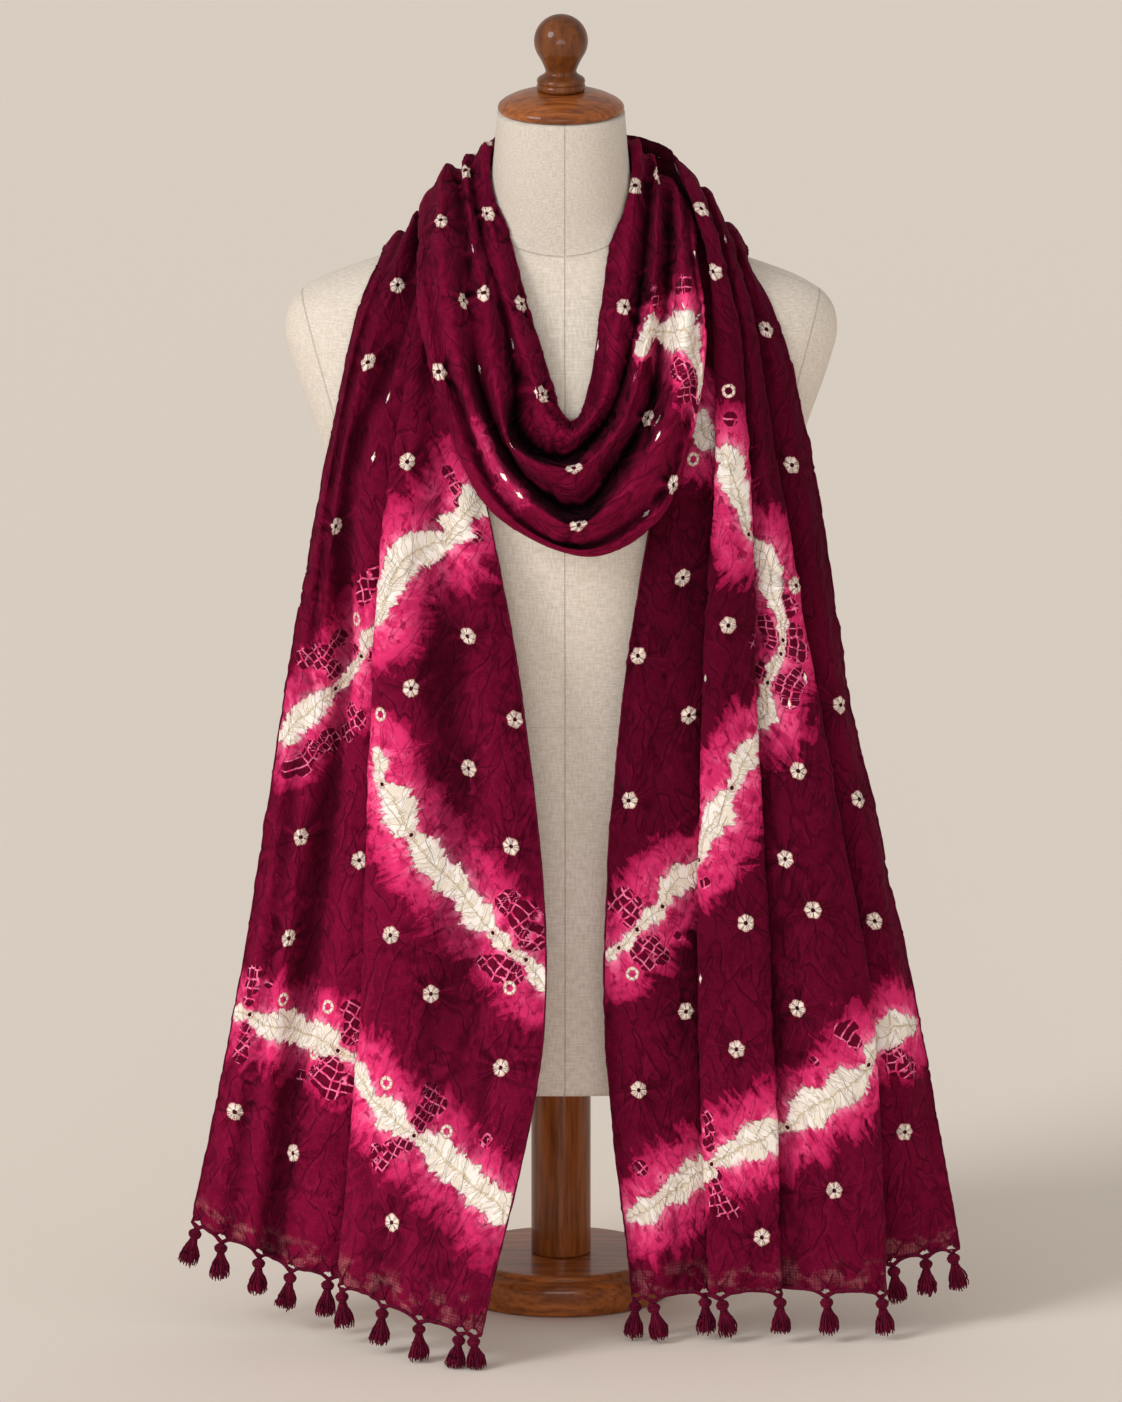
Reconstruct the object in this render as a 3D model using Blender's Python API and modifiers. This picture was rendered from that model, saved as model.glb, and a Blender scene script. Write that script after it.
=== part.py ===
"""Dupatta stole wound once round the neck of a limbless dress form.

The frame is +Z up, +X to the viewer's right and -Y towards the viewer. The origin is the centre of the
base's underside. Tables hold millimetres and the model is built in metres.

The cloth is one surface. A section is its line across the stole at one place on the way from hem to hem,
and it is given by fold lines: each has a share of the cloth's width, from 0 at the inner edge to 1 at the
outer edge, and a place (across, forward, up). Smooth curves through the folds, and then through the
sections, give the surface, which is cut into the five stretches that show.
"""

import math

import bmesh
import bpy
import numpy as np

MM = 0.001
MERGE_DISTANCE = 0.00001

# ---- driving sizes ---------------------------------------------------------------------------------

WALL = 1.5  # thickness of the cloth
SEAM_GAP = 0.3  # clear distance between pieces that touch
LEAST_SECTION_STEP = 25  # neighbouring sections of the cloth are at least this far apart
CLOTH_CLEARANCE = 3.0  # least distance from the form to the middle of the cloth
CLEARING_PASSES = 6
CLEARING_LIMIT = 4.0  # furthest move in one pass
TURN_SHARE = 0.006  # width share from a folded turn's place to each of its two layers
TINY = 1e-9

POLE_RADIUS = 21.8
BASE_TOP = 29.5
FORM_BOTTOM = 170
NECK_TOP = 886
FORM_ROUNDNESS = 2.3  # exponent of the form's sections: 2 is an ellipse, more is squarer
FORM_SIDES = 32
FORM_RINGS = 26
FORM_LOOK_UP_LEVELS = 150

# Sections of the dress form, from the hip up to the top of the neck.
FORM_SECTIONS = (
    # up, half width, front, back
    (170, 150, 89, 98),
    (230, 161, 96, 108),
    (300, 163, 98, 112),
    (370, 150, 92, 104),
    (446, 128, 85, 87),
    (520, 139, 95, 84),
    (580, 156, 107, 88),
    (620, 168, 112, 94),
    (660, 181, 107, 98),
    (700, 195, 92, 96),
    (726, 201, 79, 91),
    (745, 196, 69, 84),
    (757, 181, 63, 77),
    (768, 155, 58, 69),
    (778, 124, 54, 61),
    (787, 92, 51, 55),
    (797, 68, 50, 52),
    (812, 56, 49, 50),
    (845, 50, 48.5, 49),
    (886, 46.4, 46.4, 46.4),
)

# Turned wood, as (radius, up) from the top down the outer side.
CAP_PROFILE = (
    (0, 902.3), (18, 902.2), (26, 901.1), (35, 898.3), (42, 894.9), (45.2, 892.3), (46.3, 889.6), (45.2, 887.2),
    (42, 886.3), (0, 886.3),
)
FINIAL_BALL_RADIUS = 19.7
FINIAL_BALL_UP = 939.2
FINIAL_STEM_PROFILE = (
    (16.1, 927.85), (15.1, 926.1), (14.1, 924.1), (13.2, 922.2), (12.4, 920.4), (11.7, 918.7), (11.3, 917.3),
    (11.3, 916.2), (12, 914.9), (14, 913.4), (17, 911.6), (17.8, 909.4), (17, 907.5), (17.9, 906), (17.6, 903.4),
    (16.5, 902.6), (0, 902.6),
)
BASE_PROFILE = (
    (0, 29.5), (70.8, 29.5), (73.2, 28.8), (74.2, 27.4), (73.8, 26.2), (74.6, 25.4), (77.5, 24.4), (79.6, 22.4),
    (80.8, 19.5), (81, 15), (81, 3.5), (80, 1), (78, 0), (0, 0),
)

# ---- the cloth's folds -----------------------------------------------------------------------------

# A fold's step is where the cloth turns over on itself there: it goes on that much further back (minus)
# or further forward (plus). The place gives the front layer. Nought is a soft ridge or valley.
# Over the shoulder the layers lie on each other instead, so each station has its step's own direction.
TAIL_STATIONS = ("behind crest", "front crest", "chest top", "chest", "waist", "hip", "hem")
STEP_DIRECTIONS = np.array([(0, 0, 1), (0, 0.6, 0.8), *[(0, 1, 0)] * 5])

LEFT_TAIL = (
    # fold, width share, step, then (across, forward, up) at each station
    ("inner edge", 0.00, 0, (-66, -12, 806), (-65, 40, 794), (-81, 79, 745), (-58, 115, 640),
     (-27, 132, 470), (-12, 174, 250), (-58, 224, 26)),
    ("inner ridge", 0.09, 0, (-72, -12, 808), (-72, 42, 794), (-87, 83, 745), (-75, 121, 640),
     (-55, 135, 470), (-41, 171, 250), (-77, 217, 27)),
    ("middle valley", 0.19, 0, (-77, -12, 801), (-79, 37, 790), (-94, 79, 745), (-93, 115, 640),
     (-83, 124, 470), (-81, 157, 250), (-107, 200, 32)),
    ("front ridge", 0.28, 0, (-82, -12, 806), (-86, 40, 793), (-99, 82, 745), (-112, 121, 640),
     (-116, 132, 470), (-123, 153, 250), (-138, 173, 39)),
    ("front fold", 0.35, -5, (-87, -12, 804), (-92, 39, 793), (-105, 79, 745), (-125, 117, 640),
     (-138, 123, 470), (-146, 141, 250), (-162, 152, 43)),
    ("hidden turn", 0.52, -3, (-82, -12, 796), (-86, 31, 785), (-96, 72, 745), (-82, 109, 640),
     (-60, 115, 470), (-68, 130, 250), (-90, 137, 42)),
    ("under ridge", 0.69, 0, (-92, -12, 801), (-98, 34, 791), (-108, 72, 745), (-139, 99, 640),
     (-148, 109, 470), (-165, 121, 250), (-185, 130, 47)),
    ("deep valley", 0.76, 0, (-97, -12, 795), (-104, 25, 785), (-112, 65, 745), (-152, 85, 640),
     (-158, 96, 470), (-187, 105, 250), (-209, 114, 52)),
    ("outer ridge", 0.83, 0, (-105, -12, 809), (-113, 27, 797), (-133, 72, 745), (-160, 90, 640),
     (-177, 105, 470), (-205, 116, 250), (-228, 121, 63)),
    ("small valley", 0.90, 0, (-112, -12, 793), (-121, 22, 786), (-141, 61, 745), (-165, 82, 640),
     (-186, 99, 470), (-217, 109, 250), (-244, 113, 67)),
    ("edge ridge", 0.95, 0, (-118, -12, 795), (-126, 20, 785), (-145, 63, 745), (-168, 82, 640),
     (-193, 99, 470), (-226, 108, 250), (-256, 112, 72)),
    ("outer edge", 1.00, 0, (-128, -12, 783), (-132, 16, 778), (-149, 54, 745), (-171, 70, 640),
     (-201, 90, 470), (-235, 98, 250), (-269, 100, 79)),
)

RIGHT_TAIL = (
    ("inner edge", 0.00, 0, (99, -12, 798), (95, 30, 786), (86, 71, 745), (70, 111, 640),
     (44, 127, 470), (32, 134, 250), (52, 141, 32)),
    ("inner ridge", 0.08, 0, (105, -12, 795), (101, 31, 785), (92, 73, 745), (87, 112, 640),
     (61, 134, 470), (52, 144, 250), (69, 149, 33)),
    ("first turn", 0.26, 3, (112, -12, 794), (110, 31, 783), (115, 70, 745), (134, 100, 640),
     (137, 113, 470), (138, 121, 250), (145, 126, 36)),
    ("first fold", 0.38, 5, (84, -12, 846), (106, 52, 796), (112, 83, 745), (111, 119, 640),
     (102, 131, 470), (100, 140, 250), (108, 145, 34)),
    ("second ridge", 0.45, 0, (92, -12, 842), (111, 57, 796), (119, 87, 745), (123, 124, 640),
     (119, 137, 470), (123, 148, 250), (134, 152, 37)),
    ("second fold", 0.52, -5, (99, -12, 833), (117, 54, 794), (128, 82, 745), (138, 115, 640),
     (142, 127, 470), (153, 144, 250), (160, 152, 38)),
    ("second turn", 0.57, -3, (100, -12, 823), (114, 45, 787), (124, 74, 745), (129, 106, 640),
     (132, 117, 470), (144, 136, 250), (153, 145, 38)),
    ("third ridge", 0.68, 0, (106, -12, 826), (123, 49, 790), (134, 78, 745), (149, 110, 640),
     (167, 126, 470), (189, 144, 250), (200, 151, 37)),
    ("third fold", 0.78, -5, (113, -12, 814), (129, 42, 787), (140, 71, 745), (158, 101, 640),
     (187, 117, 470), (226, 132, 250), (237, 139, 34)),
    ("third turn", 0.87, -3, (112, -12, 804), (124, 34, 779), (134, 62, 745), (143, 91, 640),
     (160, 104, 470), (191, 115, 250), (202, 121, 42)),
    ("outer ridge", 0.95, 0, (124, -12, 801), (133, 31, 786), (149, 63, 745), (173, 92, 640),
     (201, 105, 470), (242, 114, 250), (261, 113, 55)),
    ("outer edge", 1.00, 0, (136, -12, 783), (137, 20, 777), (157, 51, 745), (184, 74, 640),
     (211, 85, 470), (257, 92, 250), (291, 98, 58)),
)

# The cowl runs from the right shoulder's crest, down, round the front and up to the left one.
COWL_STATIONS = (
    "right crest", "right neck", "right chest", "right low", "right turn",
    "bottom", "left turn", "left low", "left chest", "left neck", "left crest",
)

COWL = (
    ("inner edge", 0.00, 0, (50, -12, 858), (36, 48, 797), (28, 82, 750), (22, 100, 713), (16, 108, 690),
     (8, 111, 681), (0, 109, 687), (-7, 102, 710), (-20, 84, 750), (-36, 48, 801), (-49, -12, 856)),
    ("lip", 0.10, 0, (57, -12, 864), (48, 56, 796), (41, 94, 749), (34, 112, 708), (24, 120, 688),
     (7, 122, 674), (-12, 120, 688), (-20, 113, 714), (-34, 96, 755), (-48, 56, 803), (-56, -12, 860)),
    ("first valley", 0.20, 0, (62, -12, 849), (61, 44, 793), (53, 84, 743), (42, 102, 702), (28, 111, 676),
     (0, 114, 655), (-30, 112, 673), (-34, 103, 714), (-44, 86, 762), (-58, 44, 805), (-64, -12, 846)),
    ("middle ridge", 0.30, 0, (67, -12, 852), (69, 60, 797), (63, 102, 747), (52, 124, 700), (36, 134, 672),
     (7, 138, 653), (-34, 134, 667), (-47, 122, 711), (-54, 104, 763), (-63, 58, 804), (-70, -12, 851)),
    ("deep trough", 0.43, 0, (73, -12, 835), (78, 44, 793), (73, 88, 744), (63, 107, 692), (41, 115, 651),
     (12, 117, 618), (-25, 116, 640), (-56, 109, 700), (-66, 94, 760), (-69, 49, 803), (-74, -12, 838)),
    ("lower ridge", 0.57, 0, (81, -12, 834), (88, 64, 797), (90, 109, 748), (80, 132, 694), (56, 142, 648),
     (12, 146, 613), (-37, 142, 643), (-68, 130, 705), (-81, 111, 764), (-87, 64, 809), (-84, -12, 845)),
    ("outer valley", 0.70, 0, (87, -12, 822), (94, 52, 794), (100, 98, 746), (91, 123, 688), (66, 135, 629),
     (10, 138, 597), (-41, 136, 628), (-73, 121, 698), (-92, 102, 760), (-98, 53, 804), (-92, -12, 830)),
    ("outer ridge", 0.79, 0, (91, -12, 817), (97, 57, 794), (104, 101, 745), (95, 126, 682), (71, 138, 622),
     (16, 140, 592), (-46, 139, 625), (-82, 125, 700), (-98, 105, 757), (-102, 58, 796), (-97, -12, 825)),
    ("lower edge", 0.91, 0, (94, -12, 808), (99, 50, 792), (105, 92, 742), (97, 117, 678), (73, 130, 616),
     (23, 132, 586), (-50, 132, 619), (-88, 117, 694), (-103, 99, 754), (-104, 52, 792), (-101, -12, 818)),
    ("turned under", 1.00, 0, (90, -12, 802), (94, 48, 790), (99, 89, 740), (90, 112, 680), (67, 125, 622),
     (20, 123, 593), (-45, 127, 626), (-81, 112, 698), (-96, 95, 754), (-98, 50, 791), (-95, -12, 814)),
)

# Sections behind the neck, each at an angle from +X through the back. Three pleats lie between the
# inner edge and the turn, and seven between the top and the outer edge.
BACK_SHARES = (0.0, 0.26, 0.38, 1.0)
BACK_WAVES = 9
FLAT_PLEATS = 0.4  # height of the pleats between the inner edge and the top, beside the others
BACK_BAND_INNER = (
    # angle, then (radius, up) at the inner edge, the turn, the top and the outer edge, and pleat height
    (150, (66, 812), (82, 800), (90, 794), (128, 764), 4),
    (120, (62, 828), (76, 808), (82, 799), (106, 756), 6),
    (90, (58, 846), (66, 825), (70, 815), (84, 766), 6),
    (60, (56, 856), (64, 838), (68, 829), (84, 788), 5),
    (30, (54, 861), (64, 845), (68, 838), (90, 800), 4),
)
BACK_BAND_OUTER = (
    (150, (57, 860), (70, 846), (76, 840), (105, 803), 5),
    (120, (64, 857), (77, 842), (84, 839), (118, 783), 8),
    (90, (76, 843), (87, 828), (86, 851), (120, 766), 9),
    (60, (89, 821), (98, 804), (86, 853), (130, 764), 8),
    (30, (102, 796), (112, 788), (85, 851), (138, 768), 5),
)

# ---- the tassels -----------------------------------------------------------------------------------

# Share of the hem's width, from the inner edge, and how far the tip leans to the right.
LEFT_TASSELS = (
    (0.030, 3), (0.075, -4), (0.180, 0), (0.255, -3), (0.335, 2),
    (0.660, -3), (0.720, -5), (0.800, -2), (0.915, -2), (0.985, -8),
)
RIGHT_TASSELS = (
    (0.012, -2), (0.070, 6), (0.155, 1), (0.413, 6), (0.510, 1),
    (0.665, 3), (0.757, 3), (0.928, 4), (0.958, 1), (0.990, 6),
)
TASSEL_LENGTH = 29.5
TASSEL_GAP = 0.45  # from a hem that slopes
TASSEL_FLOOR_GAP = 1.0
TASSEL_SIDES = 6
TASSEL_PROFILE = (
    # radius, and distance below the hem as a share of the length
    (0, 0), (0.7, 0), (1, 0.07), (3.9, 0.14), (4.1, 0.24),
    (2.3, 0.33), (4.2, 0.47), (6.4, 0.94), (5.4, 1), (0, 1),
)

# ---- the mesh densities ----------------------------------------------------------------------------

CAP_SIDES = 28
FINIAL_SIDES = 20
FINIAL_BALL_STEPS = 8
POLE_SIDES = 24
BASE_SIDES = 40
ROWS_PER_TAIL_STEP = 2.5
ROWS_PER_COWL_STEP = 2.5
ROWS_PER_BACK_STEP = 2
WIDE_STRIP = 0.05  # width share from which a strip between two folds gets a middle column
NEXT_TO_TASSEL = 0.02  # width share within which a tassel's own column does for that middle

CLOTH_COLOUR = (0.105, 0.004, 0.032)
LINEN_COLOUR = (0.62, 0.56, 0.47)
WOOD_COLOUR = (0.16, 0.055, 0.018)


# ---- curves through points -------------------------------------------------------------------------


def smooth(rows, places):
    """Centripetal Catmull-Rom curves through rows; a place of 2.5 lies half way from row 2 to row 3."""
    rows = np.asarray(rows, dtype=float)
    places = np.asarray(places, dtype=float)
    padded = np.concatenate([[2 * rows[0] - rows[1]], rows, [2 * rows[-1] - rows[-2]]])
    start = np.clip(places.astype(int), 0, len(rows) - 2)
    share = (places - start).reshape(-1, *[1] * (rows.ndim - 1))
    p0, p1, p2, p3 = (padded[start + k] for k in range(4))

    def knot(a, b):
        return np.sqrt(np.linalg.norm(b - a, axis=-1, keepdims=True) + TINY)

    t1 = knot(p0, p1)
    t2 = t1 + knot(p1, p2)
    t3 = t2 + knot(p2, p3)
    t = t1 + share * (t2 - t1)
    a1 = ((t1 - t) * p0 + t * p1) / t1
    a2 = ((t2 - t) * p1 + (t - t1) * p2) / (t2 - t1)
    a3 = ((t3 - t) * p2 + (t - t2) * p3) / (t3 - t2)
    b1 = ((t2 - t) * a1 + t * a2) / t2
    b2 = ((t3 - t) * a2 + (t - t1) * a3) / (t3 - t1)
    return ((t2 - t) * b1 + (t - t1) * b2) / (t2 - t1)


# ---- the dress form's shape ------------------------------------------------------------------------

FORM_LEVELS = smooth(FORM_SECTIONS, np.linspace(0, len(FORM_SECTIONS) - 1, FORM_LOOK_UP_LEVELS))


def form_size(up):
    """Half width, front and back of the form at a height."""
    return [np.interp(up, FORM_LEVELS[:, 0], FORM_LEVELS[:, k]) for k in (1, 2, 3)]


def form_excess(points):
    """Below 0 inside the form and above 0 outside it."""
    across, forward, up = points.T
    half_width, front, back = form_size(up)
    depth = np.where(forward > 0, front, back)
    return (np.abs(across) / half_width) ** FORM_ROUNDNESS + (np.abs(forward) / depth) ** FORM_ROUNDNESS - 1


def clear_of_form(points):
    """Points nearer to the form than the cloth's clearance, moved out to it."""
    shape = points.shape
    points = points.reshape(-1, 3).copy()
    for _ in range(CLEARING_PASSES):
        excess = form_excess(points)
        slope = np.stack([form_excess(points + step) - excess for step in np.eye(3)], axis=1)
        steepness = np.linalg.norm(slope, axis=1, keepdims=True) + TINY
        near = np.clip(CLOTH_CLEARANCE - excess[:, None] / steepness, 0, CLEARING_LIMIT)
        points += near * slope / steepness
    return points.reshape(shape)


# ---- the cloth's sections --------------------------------------------------------------------------


def fold_sections(folds):
    """Width shares, and one section for each station, from a table of folds."""
    shares = []
    lines = []
    for _, share, step, *places in folds:
        line = np.array(places, dtype=float)
        if step == 0:
            shares.append(share)
            lines.append(line)
            continue
        behind = line - abs(step) * STEP_DIRECTIONS
        shares += [share - TURN_SHARE, share + TURN_SHARE]
        lines += [line, behind] if step < 0 else [behind, line]
    return np.array(shares), np.stack(lines, axis=1)


def back_section(angle, inner_edge, turn, top, outer_edge, pleat):
    """A section behind the neck, with pleats that stand out from it."""
    shares = np.linspace(0, 1, 2 * BACK_WAVES + 1)
    corners = np.array([inner_edge, turn, top, outer_edge], dtype=float)
    radius = np.interp(shares, BACK_SHARES, corners[:, 0])
    up = np.interp(shares, BACK_SHARES, corners[:, 1])
    heights = np.where(shares < BACK_SHARES[2], FLAT_PLEATS, 1) * pleat
    radius += heights * np.where(np.arange(len(shares)) % 2 == 1, 0.5, -0.5)
    turn_angle = math.radians(angle)
    section = np.stack([radius * math.cos(turn_angle), -radius * math.sin(turn_angle), up], axis=1)
    return shares, section


def sheet_sections(shares):
    """Every section from the left hem to the right hem, read at the given width shares."""
    left_shares, left = fold_sections(LEFT_TAIL)
    right_shares, right = fold_sections(RIGHT_TAIL)
    cowl_shares, cowl = fold_sections(COWL)
    chain = [(left_shares, section) for section in left[::-1]]
    chain += [back_section(*row) for row in BACK_BAND_INNER]
    chain += [(cowl_shares, section) for section in cowl]
    chain += [back_section(*row) for row in BACK_BAND_OUTER]
    chain += [(right_shares, section) for section in right]
    sections = []
    for own_shares, section in chain:
        places = np.interp(shares, own_shares, np.arange(len(own_shares)))
        sections.append(smooth(section, places))
    return np.array(sections)


TAIL_SPAN = len(TAIL_STATIONS) - 1
BACK_SPAN = len(BACK_BAND_INNER) + 1
COWL_SPAN = len(COWL_STATIONS) - 1
LEFT_CREST = TAIL_SPAN
COWL_START = LEFT_CREST + BACK_SPAN
COWL_END = COWL_START + COWL_SPAN
RIGHT_CREST = COWL_END + BACK_SPAN
RIGHT_HEM = RIGHT_CREST + TAIL_SPAN


def stretch_points(start, end, rows_per_step, shares):
    """Points of the cloth from section start to section end, clear of the form."""
    places = np.linspace(start, end, round((end - start) * rows_per_step) + 1)
    seam = SEAM_GAP / LEAST_SECTION_STEP
    if start > 0:
        places[0] += seam
    if end < RIGHT_HEM:
        places[-1] -= seam
    return clear_of_form(smooth(sheet_sections(shares), places))


# ---- making objects --------------------------------------------------------------------------------


def principled(name, colour, roughness):
    material = bpy.data.materials.new(name)
    material.use_nodes = True
    shader = material.node_tree.nodes["Principled BSDF"]
    shader.inputs["Base Color"].default_value = (*colour, 1)
    shader.inputs["Roughness"].default_value = roughness
    shader.inputs["Metallic"].default_value = 0
    return material


def to_world(point):
    """From (across, forward, up) in millimetres to metres."""
    across, forward, up = point
    return across * MM, -forward * MM, up * MM


def add_object(name, mesh, parts, parent, material):
    made = bpy.data.objects.new(name, mesh)
    mesh.materials.append(material)
    parts.objects.link(made)
    made.parent = parent
    return made


def grid_mesh(name, points):
    """An open mesh of four-sided faces through a grid of points."""
    rows, columns = points.shape[:2]
    work = bmesh.new()
    grid = [[work.verts.new(to_world(points[i, j])) for j in range(columns)] for i in range(rows)]
    for i in range(rows - 1):
        for j in range(columns - 1):
            work.faces.new((grid[i][j], grid[i][j + 1], grid[i + 1][j + 1], grid[i + 1][j]))
    mesh = bpy.data.meshes.new(name)
    work.to_mesh(mesh)
    work.free()
    mesh.shade_smooth()
    return mesh


def make_stretch(name, points, parts, parent, material):
    """One stretch of the cloth as a wall."""
    made = add_object(name, grid_mesh(name, points), parts, parent, material)
    wall = made.modifiers.new("Wall", "SOLIDIFY")
    wall.thickness = WALL * MM
    wall.offset = 0
    return made


def turned(name, profile, sides, parts, parent, material):
    """A turned piece from (radius, up), top to bottom, on the +X side."""
    work = bmesh.new()
    corners = [work.verts.new((radius * MM, 0, up * MM)) for radius, up in profile]
    for upper, lower in zip(corners, corners[1:]):
        work.edges.new((upper, lower))
    mesh = bpy.data.meshes.new(name)
    work.to_mesh(mesh)
    work.free()
    made = add_object(name, mesh, parts, parent, material)
    screw = made.modifiers.new("Turn", "SCREW")
    screw.steps = sides
    screw.render_steps = sides
    screw.use_merge_vertices = True
    screw.merge_threshold = MERGE_DISTANCE
    screw.use_smooth_shade = True
    return made


# ---- the pieces ------------------------------------------------------------------------------------


def make_form(parts, parent, linen, wood):
    """The bust with its neck, the cap, the finial, the pole and the base."""
    levels = smooth(FORM_SECTIONS, np.linspace(0, len(FORM_SECTIONS) - 1, FORM_RINGS))
    work = bmesh.new()
    rings = []
    for up, half_width, front, back in levels:
        ring = []
        for k in range(FORM_SIDES):
            turn = 2 * math.pi * k / FORM_SIDES
            cosine, sine = math.cos(turn), math.sin(turn)
            depth = front if sine < 0 else back
            across = half_width * math.copysign(abs(cosine) ** (2 / FORM_ROUNDNESS), cosine)
            away = depth * math.copysign(abs(sine) ** (2 / FORM_ROUNDNESS), sine)
            ring.append(work.verts.new((across * MM, away * MM, up * MM)))
        rings.append(ring)
    for lower, upper in zip(rings, rings[1:]):
        for k in range(FORM_SIDES):
            following = (k + 1) % FORM_SIDES
            work.faces.new((lower[k], lower[following], upper[following], upper[k]))
    work.faces.new(rings[0][::-1])
    work.faces.new(rings[-1])
    mesh = bpy.data.meshes.new("form_body")
    work.to_mesh(mesh)
    work.free()
    mesh.shade_smooth()
    add_object("form_body", mesh, parts, parent, linen)

    turned("neck_cap", CAP_PROFILE, CAP_SIDES, parts, parent, wood)
    ball = []
    lowest = math.degrees(math.acos(FINIAL_STEM_PROFILE[0][0] / FINIAL_BALL_RADIUS))
    for step in range(FINIAL_BALL_STEPS + 1):
        turn = math.radians(90 - step * (90 + lowest) / FINIAL_BALL_STEPS)
        up = FINIAL_BALL_UP + FINIAL_BALL_RADIUS * math.sin(turn)
        ball.append((FINIAL_BALL_RADIUS * math.cos(turn), up))
    ball[0] = (0, FINIAL_BALL_UP + FINIAL_BALL_RADIUS)
    turned("finial", (*ball, *FINIAL_STEM_PROFILE[1:]), FINIAL_SIDES, parts, parent, wood)
    pole_top = FORM_BOTTOM - SEAM_GAP
    pole_foot = BASE_TOP + SEAM_GAP
    pole = ((0, pole_top), (POLE_RADIUS, pole_top), (POLE_RADIUS, pole_foot), (0, pole_foot))
    turned("pole", pole, POLE_SIDES, parts, parent, wood)
    turned("base", BASE_PROFILE, BASE_SIDES, parts, parent, wood)


def make_tassels(side, rows, folds, parts, parent, cloth):
    """Tassels that hang from points of a hem."""
    shares, sections = fold_sections(folds)
    for number, (share, lean) in enumerate(rows, start=1):
        place = np.interp([share], shares, np.arange(len(shares)))
        across, forward, up = smooth(sections[-1], place)[0]
        top = up - TASSEL_GAP
        length = min(TASSEL_LENGTH, top - TASSEL_FLOOR_GAP)
        profile = [(radius, -below * length) for radius, below in TASSEL_PROFILE]
        name = f"tassel_{side}_{number:02d}"
        made = turned(name, profile, TASSEL_SIDES, parts, parent, cloth)
        made.location = to_world((across, forward, top))
        made.rotation_euler = (0, -math.atan2(lean, length), 0)


def tail_shares(folds, tassels):
    """Width shares of a tail's columns: its folds, the middles between them, and its tassels."""
    shares, _ = fold_sections(folds)
    middles = (shares[1:] + shares[:-1]) / 2
    middles = middles[np.diff(shares) > WIDE_STRIP]
    hung = [share for share, _ in tassels]
    kept = [share for share in middles if min(abs(share - other) for other in hung) > NEXT_TO_TASSEL]
    return np.unique(np.concatenate([shares, kept, hung]))


def main():
    for old in list(bpy.data.objects):
        bpy.data.objects.remove(old)
    parts = bpy.data.collections.new("dupatta stole on dress form")
    bpy.context.scene.collection.children.link(parts)
    stand = bpy.data.objects.new("stand_origin", None)
    parts.objects.link(stand)

    cloth = principled("cotton", CLOTH_COLOUR, 0.85)
    linen = principled("linen", LINEN_COLOUR, 0.9)
    wood = principled("wood", WOOD_COLOUR, 0.35)

    cowl_shares, _ = fold_sections(COWL)
    cowl_middles = (cowl_shares[1:] + cowl_shares[:-1]) / 2
    cowl_columns = np.unique(np.concatenate([cowl_shares, cowl_middles]))
    back_columns = np.linspace(0, 1, 2 * BACK_WAVES + 1)
    left_columns = tail_shares(LEFT_TAIL, LEFT_TASSELS)
    right_columns = tail_shares(RIGHT_TAIL, RIGHT_TASSELS)
    stretches = (
        # name, from section, to section, rows in each step, columns
        ("tail_left", 0, LEFT_CREST, ROWS_PER_TAIL_STEP, left_columns),
        ("back_band_inner", LEFT_CREST, COWL_START, ROWS_PER_BACK_STEP, back_columns),
        ("cowl_front", COWL_START, COWL_END, ROWS_PER_COWL_STEP, cowl_columns),
        ("back_band_outer", COWL_END, RIGHT_CREST, ROWS_PER_BACK_STEP, back_columns),
        ("tail_right", RIGHT_CREST, RIGHT_HEM, ROWS_PER_TAIL_STEP, right_columns),
    )
    for name, start, end, rows_per_step, shares in stretches:
        points = stretch_points(start, end, rows_per_step, shares)
        make_stretch(name, points, parts, stand, cloth)
    make_tassels("left", LEFT_TASSELS, LEFT_TAIL, parts, stand, cloth)
    make_tassels("right", RIGHT_TASSELS, RIGHT_TAIL, parts, stand, cloth)
    make_form(parts, stand, linen, wood)


main()
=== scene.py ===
"""Looks of the dupatta stole on its dress form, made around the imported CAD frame.

Tables hold millimetres. A place is (across, forward, up): across is +X, forward is -Y, towards the
camera, and up is +Z. Places named as pixels are read on the 1122 x 1402 picture and turned into places on
the cloth through the camera. The cloth is one surface from hem to hem, cut into the stretches that show.
"""

import math

import bpy
import numpy as np
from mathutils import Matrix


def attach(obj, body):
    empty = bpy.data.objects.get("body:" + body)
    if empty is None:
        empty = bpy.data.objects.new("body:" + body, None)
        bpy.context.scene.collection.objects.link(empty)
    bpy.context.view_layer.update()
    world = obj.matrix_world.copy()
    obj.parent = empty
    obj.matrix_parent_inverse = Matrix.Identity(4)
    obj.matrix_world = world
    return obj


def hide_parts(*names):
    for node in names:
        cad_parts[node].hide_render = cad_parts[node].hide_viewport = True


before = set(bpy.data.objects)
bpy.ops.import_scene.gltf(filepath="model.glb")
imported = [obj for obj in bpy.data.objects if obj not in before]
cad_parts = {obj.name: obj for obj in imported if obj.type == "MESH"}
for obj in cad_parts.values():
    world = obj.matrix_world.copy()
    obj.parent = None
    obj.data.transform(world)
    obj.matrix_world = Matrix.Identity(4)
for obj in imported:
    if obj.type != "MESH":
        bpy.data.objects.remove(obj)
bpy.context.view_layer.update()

MM = 0.001

# ---- the camera ----

PICTURE_WIDTH = 1122
PICTURE_HEIGHT = 1402
MM_PER_PIXEL = 0.73
EYE_ELEVATION = math.radians(14)
EYE_DISTANCE = 24000
AIM_UP = 445
SENSOR = 36
CLIP_END = 100  # metres

BACK_TO_EYE = np.array([0, -math.cos(EYE_ELEVATION), math.sin(EYE_ELEVATION)])
EYE = np.array([0, 0, AIM_UP]) + EYE_DISTANCE * BACK_TO_EYE
EYE_UP = np.array([0, math.sin(EYE_ELEVATION), math.cos(EYE_ELEVATION)])


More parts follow.
